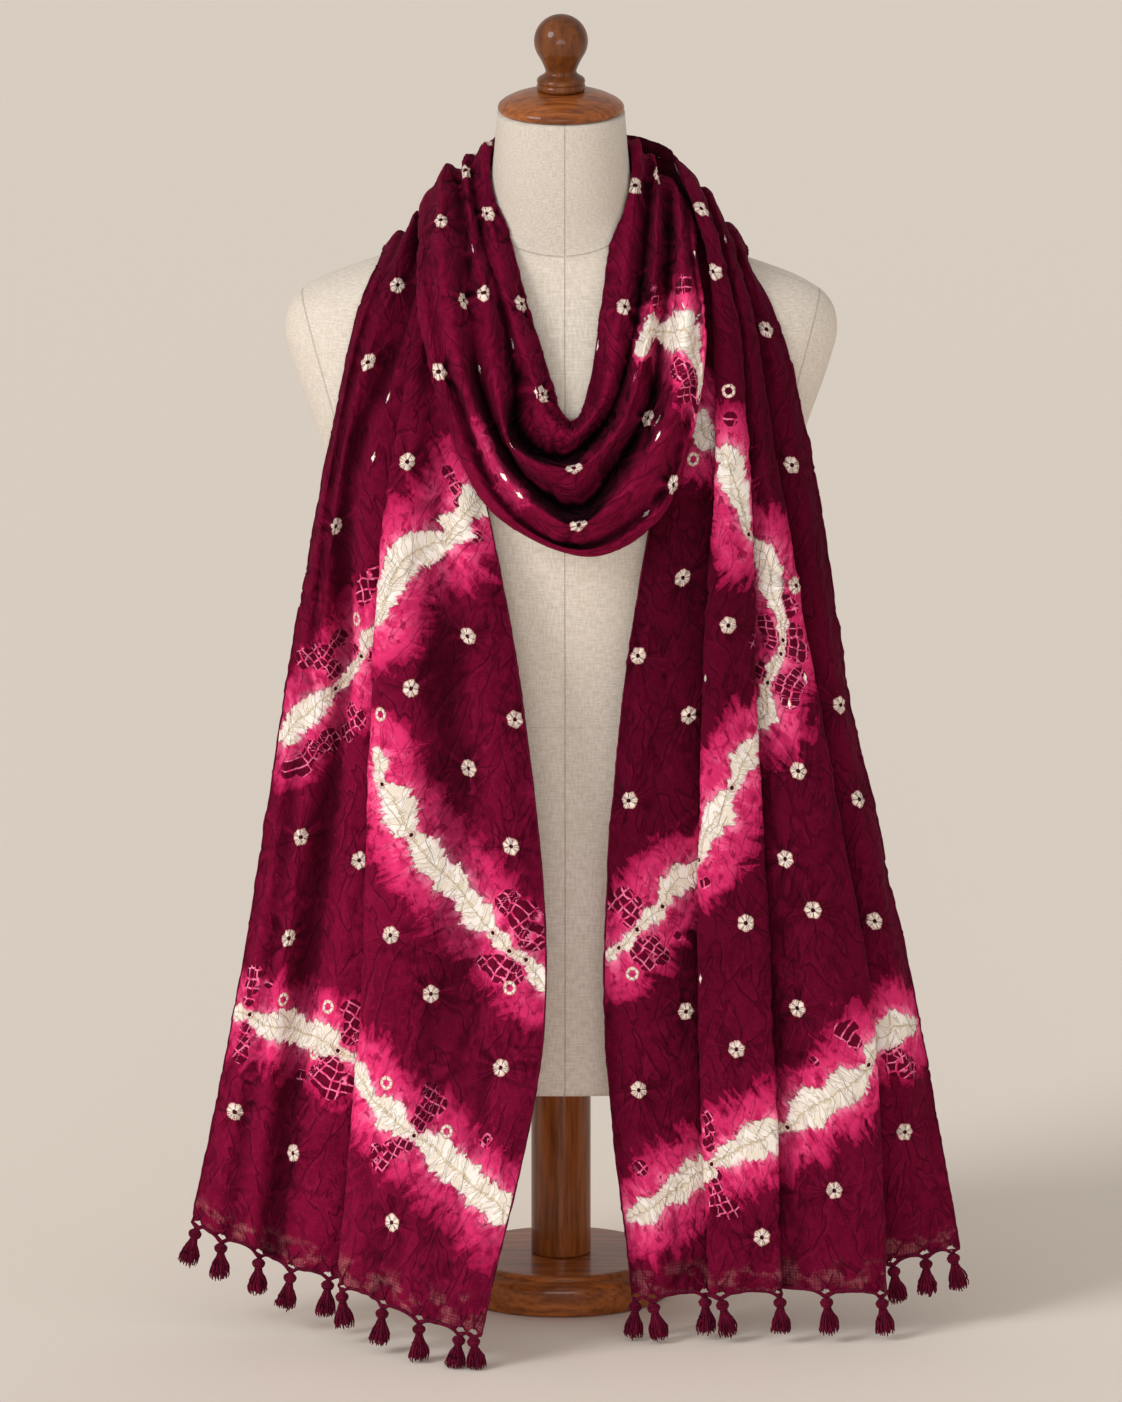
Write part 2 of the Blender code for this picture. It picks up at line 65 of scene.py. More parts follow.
def make_camera():
    data = bpy.data.cameras.new("camera")
    data.sensor_width = SENSOR
    data.lens = SENSOR * EYE_DISTANCE / (PICTURE_HEIGHT * MM_PER_PIXEL)
    data.clip_end = CLIP_END
    camera = bpy.data.objects.new("camera", data)
    bpy.context.scene.collection.objects.link(camera)
    camera.location = EYE * MM
    camera.rotation_euler = (math.pi / 2 - EYE_ELEVATION, 0, 0)
    bpy.context.scene.camera = camera


def on_picture(points):
    """Pixels across and down for points in millimetres, and their depth."""
    away = points - EYE
    depth = -away @ BACK_TO_EYE
    scale = EYE_DISTANCE / MM_PER_PIXEL / depth
    across = PICTURE_WIDTH / 2 + away[..., 0] * scale
    down = PICTURE_HEIGHT / 2 - away @ EYE_UP * scale
    return across, down, depth


# ---- sizes shared with the CAD ----

CLOTH_CLEARANCE = 2.2  # least distance from the form to the cloth
CLEARING_PASSES = 6
CLEARING_LIMIT = 4.0
TURN_SHARE = 0.006
TINY = 1e-9
POLE_RADIUS = 21.8
BASE_TOP = 29.5
FORM_BOTTOM = 170
FORM_ROUNDNESS = 2.3
FORM_LOOK_UP_LEVELS = 150
WEAVE_RADIUS = 150  # the linen's threads are laid out on a cylinder this wide
SEAT_GAP = 0.3  # between two pieces of turned wood
GOLDEN_ANGLE = 2.399

# Sections of the dress form, from the hip up to the top of the neck.
FORM_SECTIONS = (
    # up, half width, front, back
    (170, 150, 89, 98),
    (230, 161, 96, 108),
    (300, 163, 98, 112),
    (370, 150, 92, 104),
    (446, 128, 85, 87),
    (520, 139, 95, 84),
    (580, 156, 107, 88),
    (620, 168, 112, 94),
    (660, 181, 107, 98),
    (700, 195, 92, 96),
    (726, 201, 79, 91),
    (745, 196, 69, 84),
    (757, 181, 63, 77),
    (768, 155, 58, 69),
    (778, 124, 54, 61),
    (787, 92, 51, 55),
    (797, 68, 50, 52),
    (812, 56, 49, 50),
    (845, 50, 48.5, 49),
    (886, 46.4, 46.4, 46.4),
)

# Turned wood, as (radius, up) from the top down the outer side.
CAP_PROFILE = (
    (0, 902.3), (18, 902.2), (26, 901.1), (35, 898.3), (42, 894.9), (45.2, 892.3), (46.3, 889.6),
    (45.2, 887.2), (42, 886.3), (0, 886.3),
)
FINIAL_BALL_RADIUS = 19.7
FINIAL_BALL_UP = 939.2
FINIAL_BALL_STEPS = 20
# From where the ball ends.
FINIAL_STEM_PROFILE = (
    (16.1, 927.85), (15.1, 926.1), (14.1, 924.1), (13.2, 922.2), (12.4, 920.4), (11.7, 918.7),
    (11.3, 917.3), (11.3, 916.2), (12, 914.9), (14, 913.4), (17, 911.6), (17.8, 909.4), (17, 907.5),
    (17.9, 906), (17.6, 903.4), (16.5, 902.6), (0, 902.6),
)
BASE_PROFILE = (
    (0, 29.5), (70.8, 29.5), (73.2, 28.8), (74.2, 27.4), (73.8, 26.2), (74.6, 25.4), (77.5, 24.4),
    (79.6, 22.4), (80.8, 19.5), (81, 15), (81, 3.5), (80, 1), (78, 0), (0, 0),
)

# ---- the cloth's folds ----

# A fold's step is where the cloth turns over on itself there: it goes on that much further back (minus)
# or further forward (plus). The place gives the front layer. Nought is a soft ridge or valley.
# Over the shoulder the layers lie on each other instead, so each station has its step's own direction.
TAIL_STATIONS = ("behind crest", "front crest", "chest top", "chest", "waist", "hip", "hem")
STEP_DIRECTIONS = np.array([(0, 0, 1), (0, 0.6, 0.8), *[(0, 1, 0)] * 5])

LEFT_TAIL = (
    # fold, width share, step, then (across, forward, up) at each station
    ("inner edge", 0.00, 0, (-66, -12, 806), (-65, 40, 794), (-81, 79, 745), (-58, 115, 640),
     (-27, 132, 470), (-12, 174, 250), (-58, 224, 26)),
    ("inner ridge", 0.09, 0, (-72, -12, 808), (-72, 42, 794), (-87, 83, 745), (-75, 121, 640),
     (-55, 135, 470), (-41, 171, 250), (-77, 217, 27)),
    ("middle valley", 0.19, 0, (-77, -12, 801), (-79, 37, 790), (-94, 79, 745), (-93, 115, 640),
     (-83, 124, 470), (-81, 157, 250), (-107, 200, 32)),
    ("front ridge", 0.28, 0, (-82, -12, 806), (-86, 40, 793), (-99, 82, 745), (-112, 121, 640),
     (-116, 132, 470), (-123, 153, 250), (-138, 173, 39)),
    ("front fold", 0.35, -5, (-87, -12, 804), (-92, 39, 793), (-105, 79, 745), (-125, 117, 640),
     (-138, 123, 470), (-146, 141, 250), (-162, 152, 43)),
    ("hidden turn", 0.52, -3, (-82, -12, 796), (-86, 31, 785), (-96, 72, 745), (-82, 109, 640),
     (-60, 115, 470), (-68, 130, 250), (-90, 137, 42)),
    ("under ridge", 0.69, 0, (-92, -12, 801), (-98, 34, 791), (-108, 72, 745), (-139, 99, 640),
     (-148, 109, 470), (-165, 121, 250), (-185, 130, 47)),
    ("deep valley", 0.76, 0, (-97, -12, 795), (-104, 25, 785), (-112, 65, 745), (-152, 85, 640),
     (-158, 96, 470), (-187, 105, 250), (-209, 114, 52)),
    ("outer ridge", 0.83, 0, (-105, -12, 809), (-113, 27, 797), (-133, 72, 745), (-160, 90, 640),
     (-177, 105, 470), (-205, 116, 250), (-228, 121, 63)),
    ("small valley", 0.90, 0, (-112, -12, 793), (-121, 22, 786), (-141, 61, 745), (-165, 82, 640),
     (-186, 99, 470), (-217, 109, 250), (-244, 113, 67)),
    ("edge ridge", 0.95, 0, (-118, -12, 795), (-126, 20, 785), (-145, 63, 745), (-168, 82, 640),
     (-193, 99, 470), (-226, 108, 250), (-256, 112, 72)),
    ("outer edge", 1.00, 0, (-128, -12, 783), (-132, 16, 778), (-149, 54, 745), (-171, 70, 640),
     (-201, 90, 470), (-235, 98, 250), (-269, 100, 79)),
)

RIGHT_TAIL = (
    ("inner edge", 0.00, 0, (99, -12, 798), (95, 30, 786), (86, 71, 745), (70, 111, 640),
     (44, 127, 470), (32, 134, 250), (52, 141, 32)),
    ("inner ridge", 0.08, 0, (105, -12, 795), (101, 31, 785), (92, 73, 745), (87, 112, 640),
     (61, 134, 470), (52, 144, 250), (69, 149, 33)),
    ("first turn", 0.26, 3, (112, -12, 794), (110, 31, 783), (115, 70, 745), (134, 100, 640),
     (137, 113, 470), (138, 121, 250), (145, 126, 36)),
    ("first fold", 0.38, 5, (84, -12, 846), (106, 52, 796), (112, 83, 745), (111, 119, 640),
     (102, 131, 470), (100, 140, 250), (108, 145, 34)),
    ("second ridge", 0.45, 0, (92, -12, 842), (111, 57, 796), (119, 87, 745), (123, 124, 640),
     (119, 137, 470), (123, 148, 250), (134, 152, 37)),
    ("second fold", 0.52, -5, (99, -12, 833), (117, 54, 794), (128, 82, 745), (138, 115, 640),
     (142, 127, 470), (153, 144, 250), (160, 152, 38)),
    ("second turn", 0.57, -3, (100, -12, 823), (114, 45, 787), (124, 74, 745), (129, 106, 640),
     (132, 117, 470), (144, 136, 250), (153, 145, 38)),
    ("third ridge", 0.68, 0, (106, -12, 826), (123, 49, 790), (134, 78, 745), (149, 110, 640),
     (167, 126, 470), (189, 144, 250), (200, 151, 37)),
    ("third fold", 0.78, -5, (113, -12, 814), (129, 42, 787), (140, 71, 745), (158, 101, 640),
     (187, 117, 470), (226, 132, 250), (237, 139, 34)),
    ("third turn", 0.87, -3, (112, -12, 804), (124, 34, 779), (134, 62, 745), (143, 91, 640),
     (160, 104, 470), (191, 115, 250), (202, 121, 42)),
    ("outer ridge", 0.95, 0, (124, -12, 801), (133, 31, 786), (149, 63, 745), (173, 92, 640),
     (201, 105, 470), (242, 114, 250), (261, 113, 55)),
    ("outer edge", 1.00, 0, (136, -12, 783), (137, 20, 777), (157, 51, 745), (184, 74, 640),
     (211, 85, 470), (257, 92, 250), (291, 98, 58)),
)

# The cowl runs from the right shoulder's crest, down, round the front and up to the left one.
COWL_STATIONS = (
    "right crest", "right neck", "right chest", "right low", "right turn",
    "bottom", "left turn", "left low", "left chest", "left neck", "left crest",
)

COWL = (
    ("inner edge", 0.00, 0, (50, -12, 858), (36, 48, 797), (28, 82, 750), (22, 100, 713), (16, 108, 690),
     (8, 111, 681), (0, 109, 687), (-7, 102, 710), (-20, 84, 750), (-36, 48, 801), (-49, -12, 856)),
    ("lip", 0.10, 0, (57, -12, 864), (48, 56, 796), (41, 94, 749), (34, 112, 708), (24, 120, 688),
     (7, 122, 674), (-12, 120, 688), (-20, 113, 714), (-34, 96, 755), (-48, 56, 803), (-56, -12, 860)),
    ("first valley", 0.20, 0, (62, -12, 849), (61, 44, 793), (53, 84, 743), (42, 102, 702), (28, 111, 676),
     (0, 114, 655), (-30, 112, 673), (-34, 103, 714), (-44, 86, 762), (-58, 44, 805), (-64, -12, 846)),
    ("middle ridge", 0.30, 0, (67, -12, 852), (69, 60, 797), (63, 102, 747), (52, 124, 700), (36, 134, 672),
     (7, 138, 653), (-34, 134, 667), (-47, 122, 711), (-54, 104, 763), (-63, 58, 804), (-70, -12, 851)),
    ("deep trough", 0.43, 0, (73, -12, 835), (78, 44, 793), (73, 88, 744), (63, 107, 692), (41, 115, 651),
     (12, 117, 618), (-25, 116, 640), (-56, 109, 700), (-66, 94, 760), (-69, 49, 803), (-74, -12, 838)),
    ("lower ridge", 0.57, 0, (81, -12, 834), (88, 64, 797), (90, 109, 748), (80, 132, 694), (56, 142, 648),
     (12, 146, 613), (-37, 142, 643), (-68, 130, 705), (-81, 111, 764), (-87, 64, 809), (-84, -12, 845)),
    ("outer valley", 0.70, 0, (87, -12, 822), (94, 52, 794), (100, 98, 746), (91, 123, 688), (66, 135, 629),
     (10, 138, 597), (-41, 136, 628), (-73, 121, 698), (-92, 102, 760), (-98, 53, 804), (-92, -12, 830)),
    ("outer ridge", 0.79, 0, (91, -12, 817), (97, 57, 794), (104, 101, 745), (95, 126, 682), (71, 138, 622),
     (16, 140, 592), (-46, 139, 625), (-82, 125, 700), (-98, 105, 757), (-102, 58, 796), (-97, -12, 825)),
    ("lower edge", 0.91, 0, (94, -12, 808), (99, 50, 792), (105, 92, 742), (97, 117, 678), (73, 130, 616),
     (23, 132, 586), (-50, 132, 619), (-88, 117, 694), (-103, 99, 754), (-104, 52, 792), (-101, -12, 818)),
    ("turned under", 1.00, 0, (90, -12, 802), (94, 48, 790), (99, 89, 740), (90, 112, 680), (67, 125, 622),
     (20, 123, 593), (-45, 127, 626), (-81, 112, 698), (-96, 95, 754), (-98, 50, 791), (-95, -12, 814)),
)

# Sections behind the neck, each at an angle from +X through the back.
BACK_SHARES = (0.0, 0.26, 0.38, 1.0)  # width shares of the inner edge, the turn, the top and the outer edge
BACK_WAVES = 9  # pleats across a section
FLAT_PLEATS = 0.4  # height of the pleats between the inner edge and the top, beside the others
BACK_BAND_INNER = (
    # angle, then (radius, up) at the inner edge, the turn, the top and the outer edge, and pleat height
    (150, (66, 812), (82, 800), (90, 794), (128, 764), 4),
    (120, (62, 828), (76, 808), (82, 799), (106, 756), 6),
    (90, (58, 846), (66, 825), (70, 815), (84, 766), 6),
    (60, (56, 856), (64, 838), (68, 829), (84, 788), 5),
    (30, (54, 861), (64, 845), (68, 838), (90, 800), 4),
)
BACK_BAND_OUTER = (
    (150, (57, 860), (70, 846), (76, 840), (105, 803), 5),
    (120, (64, 857), (77, 842), (84, 839), (118, 783), 8),
    (90, (76, 843), (87, 828), (86, 851), (120, 766), 9),
    (60, (89, 821), (98, 804), (86, 853), (130, 764), 8),
    (30, (102, 796), (112, 788), (85, 851), (138, 768), 5),
)

# Share of the hem's width, from the inner edge, and how far the tip leans to the right.
LEFT_TASSELS = (
    (0.030, 3), (0.075, -4), (0.180, 0), (0.255, -3), (0.335, 2),
    (0.660, -3), (0.720, -5), (0.800, -2), (0.915, -2), (0.985, -8),
)
RIGHT_TASSELS = (
    (0.012, -2), (0.070, 6), (0.155, 1), (0.413, 6), (0.510, 1),
    (0.665, 3), (0.757, 3), (0.928, 4), (0.958, 1), (0.990, 6),
)
TASSEL_LENGTH = 29.5

# ---- curves through points ----


def smooth(rows, places):
    """Centripetal Catmull-Rom curves through rows; a place of 2.5 lies half way from row 2 to row 3."""
    rows = np.asarray(rows, dtype=float)
    places = np.asarray(places, dtype=float)
    padded = np.concatenate([[2 * rows[0] - rows[1]], rows, [2 * rows[-1] - rows[-2]]])
    start = np.clip(places.astype(int), 0, len(rows) - 2)
    share = (places - start).reshape(-1, *[1] * (rows.ndim - 1))
    p0, p1, p2, p3 = (padded[start + k] for k in range(4))

    def knot(a, b):
        return np.sqrt(np.linalg.norm(b - a, axis=-1, keepdims=True) + TINY)

    t1 = knot(p0, p1)
    t2 = t1 + knot(p1, p2)
    t3 = t2 + knot(p2, p3)
    t = t1 + share * (t2 - t1)
    a1 = ((t1 - t) * p0 + t * p1) / t1
    a2 = ((t2 - t) * p1 + (t - t1) * p2) / (t2 - t1)
    a3 = ((t3 - t) * p2 + (t - t2) * p3) / (t3 - t2)
    b1 = ((t2 - t) * a1 + t * a2) / t2
    b2 = ((t3 - t) * a2 + (t - t1) * a3) / (t3 - t1)
    return ((t2 - t) * b1 + (t - t1) * b2) / (t2 - t1)


def run_along(line):
    """Distance along a line from its first point to each point."""
    return np.concatenate([[0], np.cumsum(np.linalg.norm(np.diff(line, axis=0), axis=1))])


# ---- the dress form's shape ----

FORM_LEVELS = smooth(FORM_SECTIONS, np.linspace(0, len(FORM_SECTIONS) - 1, FORM_LOOK_UP_LEVELS))


def form_size(up):
    """Half width, front and back of the form at a height."""
    return [np.interp(up, FORM_LEVELS[:, 0], FORM_LEVELS[:, k]) for k in (1, 2, 3)]


def form_excess(points):
    """Below 0 inside the form and above 0 outside it."""
    across, forward, up = points.T
    half_width, front, back = form_size(up)
    depth = np.where(forward > 0, front, back)
    return (np.abs(across) / half_width) ** FORM_ROUNDNESS + (np.abs(forward) / depth) ** FORM_ROUNDNESS - 1


def clear_of_form(points):
    """Points nearer to the form than the cloth's clearance, moved out to it."""
    shape = points.shape
    points = points.reshape(-1, 3).copy()
    for _ in range(CLEARING_PASSES):
        excess = form_excess(points)
        slope = np.stack([form_excess(points + step) - excess for step in np.eye(3)], axis=1)
        steepness = np.linalg.norm(slope, axis=1, keepdims=True) + TINY
        near = np.clip(CLOTH_CLEARANCE - excess[:, None] / steepness, 0, CLEARING_LIMIT)
        points += near * slope / steepness
    return points.reshape(shape)


# ---- the cloth's sections ----


def fold_sections(folds):
    """Width shares, and one section for each station, from a table of folds."""
    shares = []
    lines = []
    for _, share, step, *places in folds:
        line = np.array(places, dtype=float)
        if step == 0:
            shares.append(share)
            lines.append(line)
            continue
        behind = line - abs(step) * STEP_DIRECTIONS
        shares += [share - TURN_SHARE, share + TURN_SHARE]
        lines += [line, behind] if step < 0 else [behind, line]
    return np.array(shares), np.stack(lines, axis=1)


def back_section(angle, inner_edge, turn, top, outer_edge, pleat):
    """A section behind the neck, with pleats that stand out from it."""
    shares = np.linspace(0, 1, 2 * BACK_WAVES + 1)
    corners = np.array([inner_edge, turn, top, outer_edge], dtype=float)
    radius = np.interp(shares, BACK_SHARES, corners[:, 0])
    up = np.interp(shares, BACK_SHARES, corners[:, 1])
    heights = np.where(shares < BACK_SHARES[2], FLAT_PLEATS, 1) * pleat
    radius += heights * np.where(np.arange(len(shares)) % 2 == 1, 0.5, -0.5)
    turn_angle = math.radians(angle)
    section = np.stack([radius * math.cos(turn_angle), -radius * math.sin(turn_angle), up], axis=1)
    return shares, section


def sheet_sections(shares):
    """Every section from the left hem to the right hem, read at the given width shares."""
    left_shares, left = fold_sections(LEFT_TAIL)
    right_shares, right = fold_sections(RIGHT_TAIL)
    cowl_shares, cowl = fold_sections(COWL)
    chain = [(left_shares, section) for section in left[::-1]]
    chain += [back_section(*row) for row in BACK_BAND_INNER]
    chain += [(cowl_shares, section) for section in cowl]
    chain += [back_section(*row) for row in BACK_BAND_OUTER]
    chain += [(right_shares, section) for section in right]
    sections = []
    for own_shares, section in chain:
        places = np.interp(shares, own_shares, np.arange(len(own_shares)))
        sections.append(smooth(section, places))
    return np.array(sections)


TAIL_SPAN = len(TAIL_STATIONS) - 1
BACK_SPAN = len(BACK_BAND_INNER) + 1
COWL_SPAN = len(COWL_STATIONS) - 1
LEFT_CREST = TAIL_SPAN
COWL_START = LEFT_CREST + BACK_SPAN
COWL_END = COWL_START + COWL_SPAN
RIGHT_CREST = COWL_END + BACK_SPAN
RIGHT_HEM = RIGHT_CREST + TAIL_SPAN


# ---- the fine cloth ----

CLOTH_WIDTH = 430
COLUMNS = 224
RUN_STEPS = 40  # steps from one section to the next when the cloth's length is measured
RUN_COLUMNS = 16  # every so many columns are measured
STRETCHES = (
    # piece, from section, to section, row step
    ("tail_left", 0, LEFT_CREST, 2.05),
    ("back_band_inner", LEFT_CREST, COWL_START, 2.3),
    ("cowl_front", COWL_START, COWL_END, 2.0),
    ("back_band_outer", COWL_END, RIGHT_CREST, 2.3),
    ("tail_right", RIGHT_CREST, RIGHT_HEM, 2.05),
)
# Soft swells all over the cloth: wave length across it and along it, and height.
SWELLS = (
    # across, along, height, seed
    (26, 140, 1.35, 11),
    (16, 48, 0.85, 12),
    (11, 15, 0.36, 13),
    (5, 6.5, 0.11, 14),
)
# Narrow creases: the same, and how narrow each is.
CREASES = (
    # across, along, height, seed, width
    (36, 75, -1.0, 21, 0.10),
    (19, 34, -0.55, 22, 0.12),
    (30, 24, 0.70, 23, 0.10),
)
BACK_RELIEF = 0.5  # share of the relief that is left on the layers behind the neck
MOST_RELIEF = 2.4
RELIEF_SLANT = 0.12  # how far the swells and creases run on along the cloth for each step across it
CREASE_BEND = 0.35  # how crooked the creases are, as a share of their wave length
BEND_LENGTH = 11
BACK_FADE = 20
LUMP_LENGTH = 5  # spacing of the lumps in a rolled edge
# How the depth of a valley is measured, for the shade painted there: steps averaged over each way, and the
# depth that counts as much.
CAVITY_SIZES = ((2, 1.6), (6, 3.4), (14, 5.0), (26, 9.0))
CAVITY_CONTRAST = 0.55
# Painted shade and light along the cloth, standing in for how the light falls on it: share of its run from
# the left hem, and strength. It is darkest on the cowl and the right tail, and lightest towards the left hem.
PAINTED_SHADE_ALONG_RUN = (
    (0, 1.10), (0.05, 1.14), (0.09, 1.08), (0.135, 0.98), (0.17, 0.94), (0.24, 0.76), (0.28, 0.56),
    (0.33, 0.68), (0.4, 0.76), (0.5, 0.86), (0.6, 0.64), (0.7, 0.56), (0.8, 0.40), (0.845, 0.54),
    (0.86, 0.58), (0.91, 0.58), (0.935, 0.72), (0.97, 0.80), (1, 0.78),
)


def lattice_noise(across, along, seed, size=128):
    """Smooth noise from -1 to 1 on a repeating lattice."""
    table = np.random.default_rng(seed).uniform(-1, 1, (size, size))
    i = np.floor(across).astype(int)
    j = np.floor(along).astype(int)
    u = across - i
    v = along - j
    u = u * u * (3 - 2 * u)
    v = v * v * (3 - 2 * v)
    i0, i1, j0, j1 = i % size, (i + 1) % size, j % size, (j + 1) % size
    low = table[i0, j0] * (1 - u) + table[i1, j0] * u
    high = table[i0, j1] * (1 - u) + table[i1, j1] * u
    return low * (1 - v) + high * v


def step_up(value, low, high):
    """0 below low and 1 above high, with a smooth rise between them."""
    share = np.clip((value - low) / (high - low), 0, 1)
    return share * share * (3 - 2 * share)


def in_world(points):
    """Places (across, forward, up) as world coordinates, still in millimetres."""
    return points * (1, -1, 1)


def cloth_rows(sections):
    """Places of the grid's rows along the cloth, and the first row of each stretch."""
    coarse = np.linspace(0, RIGHT_HEM, RIGHT_HEM * RUN_STEPS + 1)
    middle = smooth(sections[:, ::RUN_COLUMNS], coarse)
    steps = np.linalg.norm(np.diff(middle, axis=0), axis=2).mean(axis=1)
    run = np.concatenate([[0], np.cumsum(steps)])
    places = [np.array([0.0])]
    starts = [0]
    for _, start, end, row_step in STRETCHES:
        first, last = np.interp([start, end], coarse, run)
        lengths = np.linspace(first, last, round((last - first) / row_step) + 1)[1:]
        own = np.interp(lengths, run, coarse)
        own[-1] = end
        places.append(own)
        starts.append(starts[-1] + len(own))
    places = np.concatenate(places)
    return places, np.interp(places, coarse, run), starts


def grid_normals(points):
    across = np.gradient(points, axis=1)
    along = np.gradient(points, axis=0)
    normals = np.cross(along, across)
    return normals / (np.linalg.norm(normals, axis=2, keepdims=True) + TINY)


SHARES = np.linspace(0, 1, COLUMNS)
PLACES, RUN, STARTS = cloth_rows(sheet_sections(SHARES))
SMOOTH_CLOTH = in_world(clear_of_form(smooth(sheet_sections(SHARES), PLACES)))
ARC_ACROSS = np.zeros(SMOOTH_CLOTH.shape[:2])
ARC_ACROSS[:, 1:] = np.cumsum(np.linalg.norm(np.diff(SMOOTH_CLOTH, axis=1), axis=2), axis=1)
ARC_ALONG = np.zeros(SMOOTH_CLOTH.shape[:2])
ARC_ALONG[1:] = np.cumsum(np.linalg.norm(np.diff(SMOOTH_CLOTH, axis=0), axis=2), axis=0)
ACROSS = ARC_ACROSS - ARC_ACROSS[:, COLUMNS // 2, None] + CLOTH_WIDTH / 2
ROW_OF = {name: (STARTS[k], STARTS[k + 1]) for k, (name, *_) in enumerate(STRETCHES)}
PICTURE_ACROSS, PICTURE_DOWN, PICTURE_DEPTH = on_picture(SMOOTH_CLOTH)


NEAREST_PIXELS = 3.0  # layers at least this near to a pixel are compared by depth
PIXEL_SLACK = 1.5


def on_cloth(piece, pixel_across, pixel_down):
    """Row and column of the nearest layer of a stretch at a pixel of the picture."""
    first, last = ROW_OF[piece]
    rows = slice(first, last + 1)
    offset = np.maximum(abs(PICTURE_ACROSS[rows] - pixel_across), abs(PICTURE_DOWN[rows] - pixel_down))
    window = max(NEAREST_PIXELS, offset.min() + PIXEL_SLACK)
    depth = np.where(offset < window, PICTURE_DEPTH[rows], np.inf)
    row, column = np.unravel_index(depth.argmin(), depth.shape)
    return first + row, column


# ---- the tie-dyed pattern ----

# Tied dots, as pixels of the picture, on the stretch that shows there.
DOTS = {
    "tail_left": (
        (400, 285), (370, 363), (405, 462), (339, 529), (466, 637), (412, 689), (517, 720), (467, 770),
        (300, 840), (357, 862), (514, 848), (291, 940), (388, 936), (430, 997), (498, 1065), (232, 1114),
        (293, 1154), (389, 1223),
    ),
    "cowl_front": (
        (441, 219), (485, 212), (483, 291), (524, 302), (436, 371), (546, 391), (464, 168), (464, 300),
        (572, 466), (578, 523), (637, 184), (627, 306), (667, 167), (646, 418), (672, 488),
    ),
    "tail_right": (
        (699, 207), (712, 271), (766, 327), (789, 468), (798, 585), (685, 580), (730, 628), (636, 657),
        (843, 705), (688, 718), (801, 773), (628, 803), (861, 802), (784, 861), (815, 911), (877, 919),
        (748, 925), (796, 1010), (686, 1013), (734, 1051), (640, 1092), (907, 1133), (837, 1191),
        (762, 1240),
    ),
}
# Slivers of an undyed line that show along the edge of a fold.
SLIVERS = {
    "tail_left": ((384, 397), (371, 455), (428, 272)),
    "cowl_front": (
        (510, 446), (506, 478), (518, 498), (655, 420), (692, 252), (572, 322), (470, 246), (510, 345),
        (478, 370), (535, 390), (657, 434), (645, 511)),
    "tail_right": ((725, 236), (808, 680), (702, 680), (792, 706), (698, 979)),
}
# Small loose ties: an outlined ring only.
RINGS = {
    "tail_left": (
        (352, 622), (286, 1002), (327, 1007), (313, 1054), (385, 1086), (444, 1133), (507, 990), (377, 717)),
    "cowl_front": (),
    "tail_right": ((727, 389), (695, 458), (786, 625), (631, 974)),
}
HIDDEN_DOT_STEP = 86  # spacing of the dots on the bands behind the neck, across them
HIDDEN_ROW_SHARE = 0.55  # spacing along them as a share of it
HIDDEN_DOT_START = (20, 30)  # along and across
HIDDEN_DOT_STAGGER = 37
HIDDEN_DOT_SWAY = 9
DOT_REACH = 30  # distance to which a dot's puckers run
DOT_WINDOW = 40  # rows and columns looked at round a dot
KIND_STEP = 0.3  # the fraction that each kind of dot adds to its number
NO_DOT = 90.0
DOT_BUMP = 1.2
DOT_BUMP_RADIUS = 5
RAY_HEIGHT = 1.25
RAY_START = (3, 8)
RAY_FADE = 14

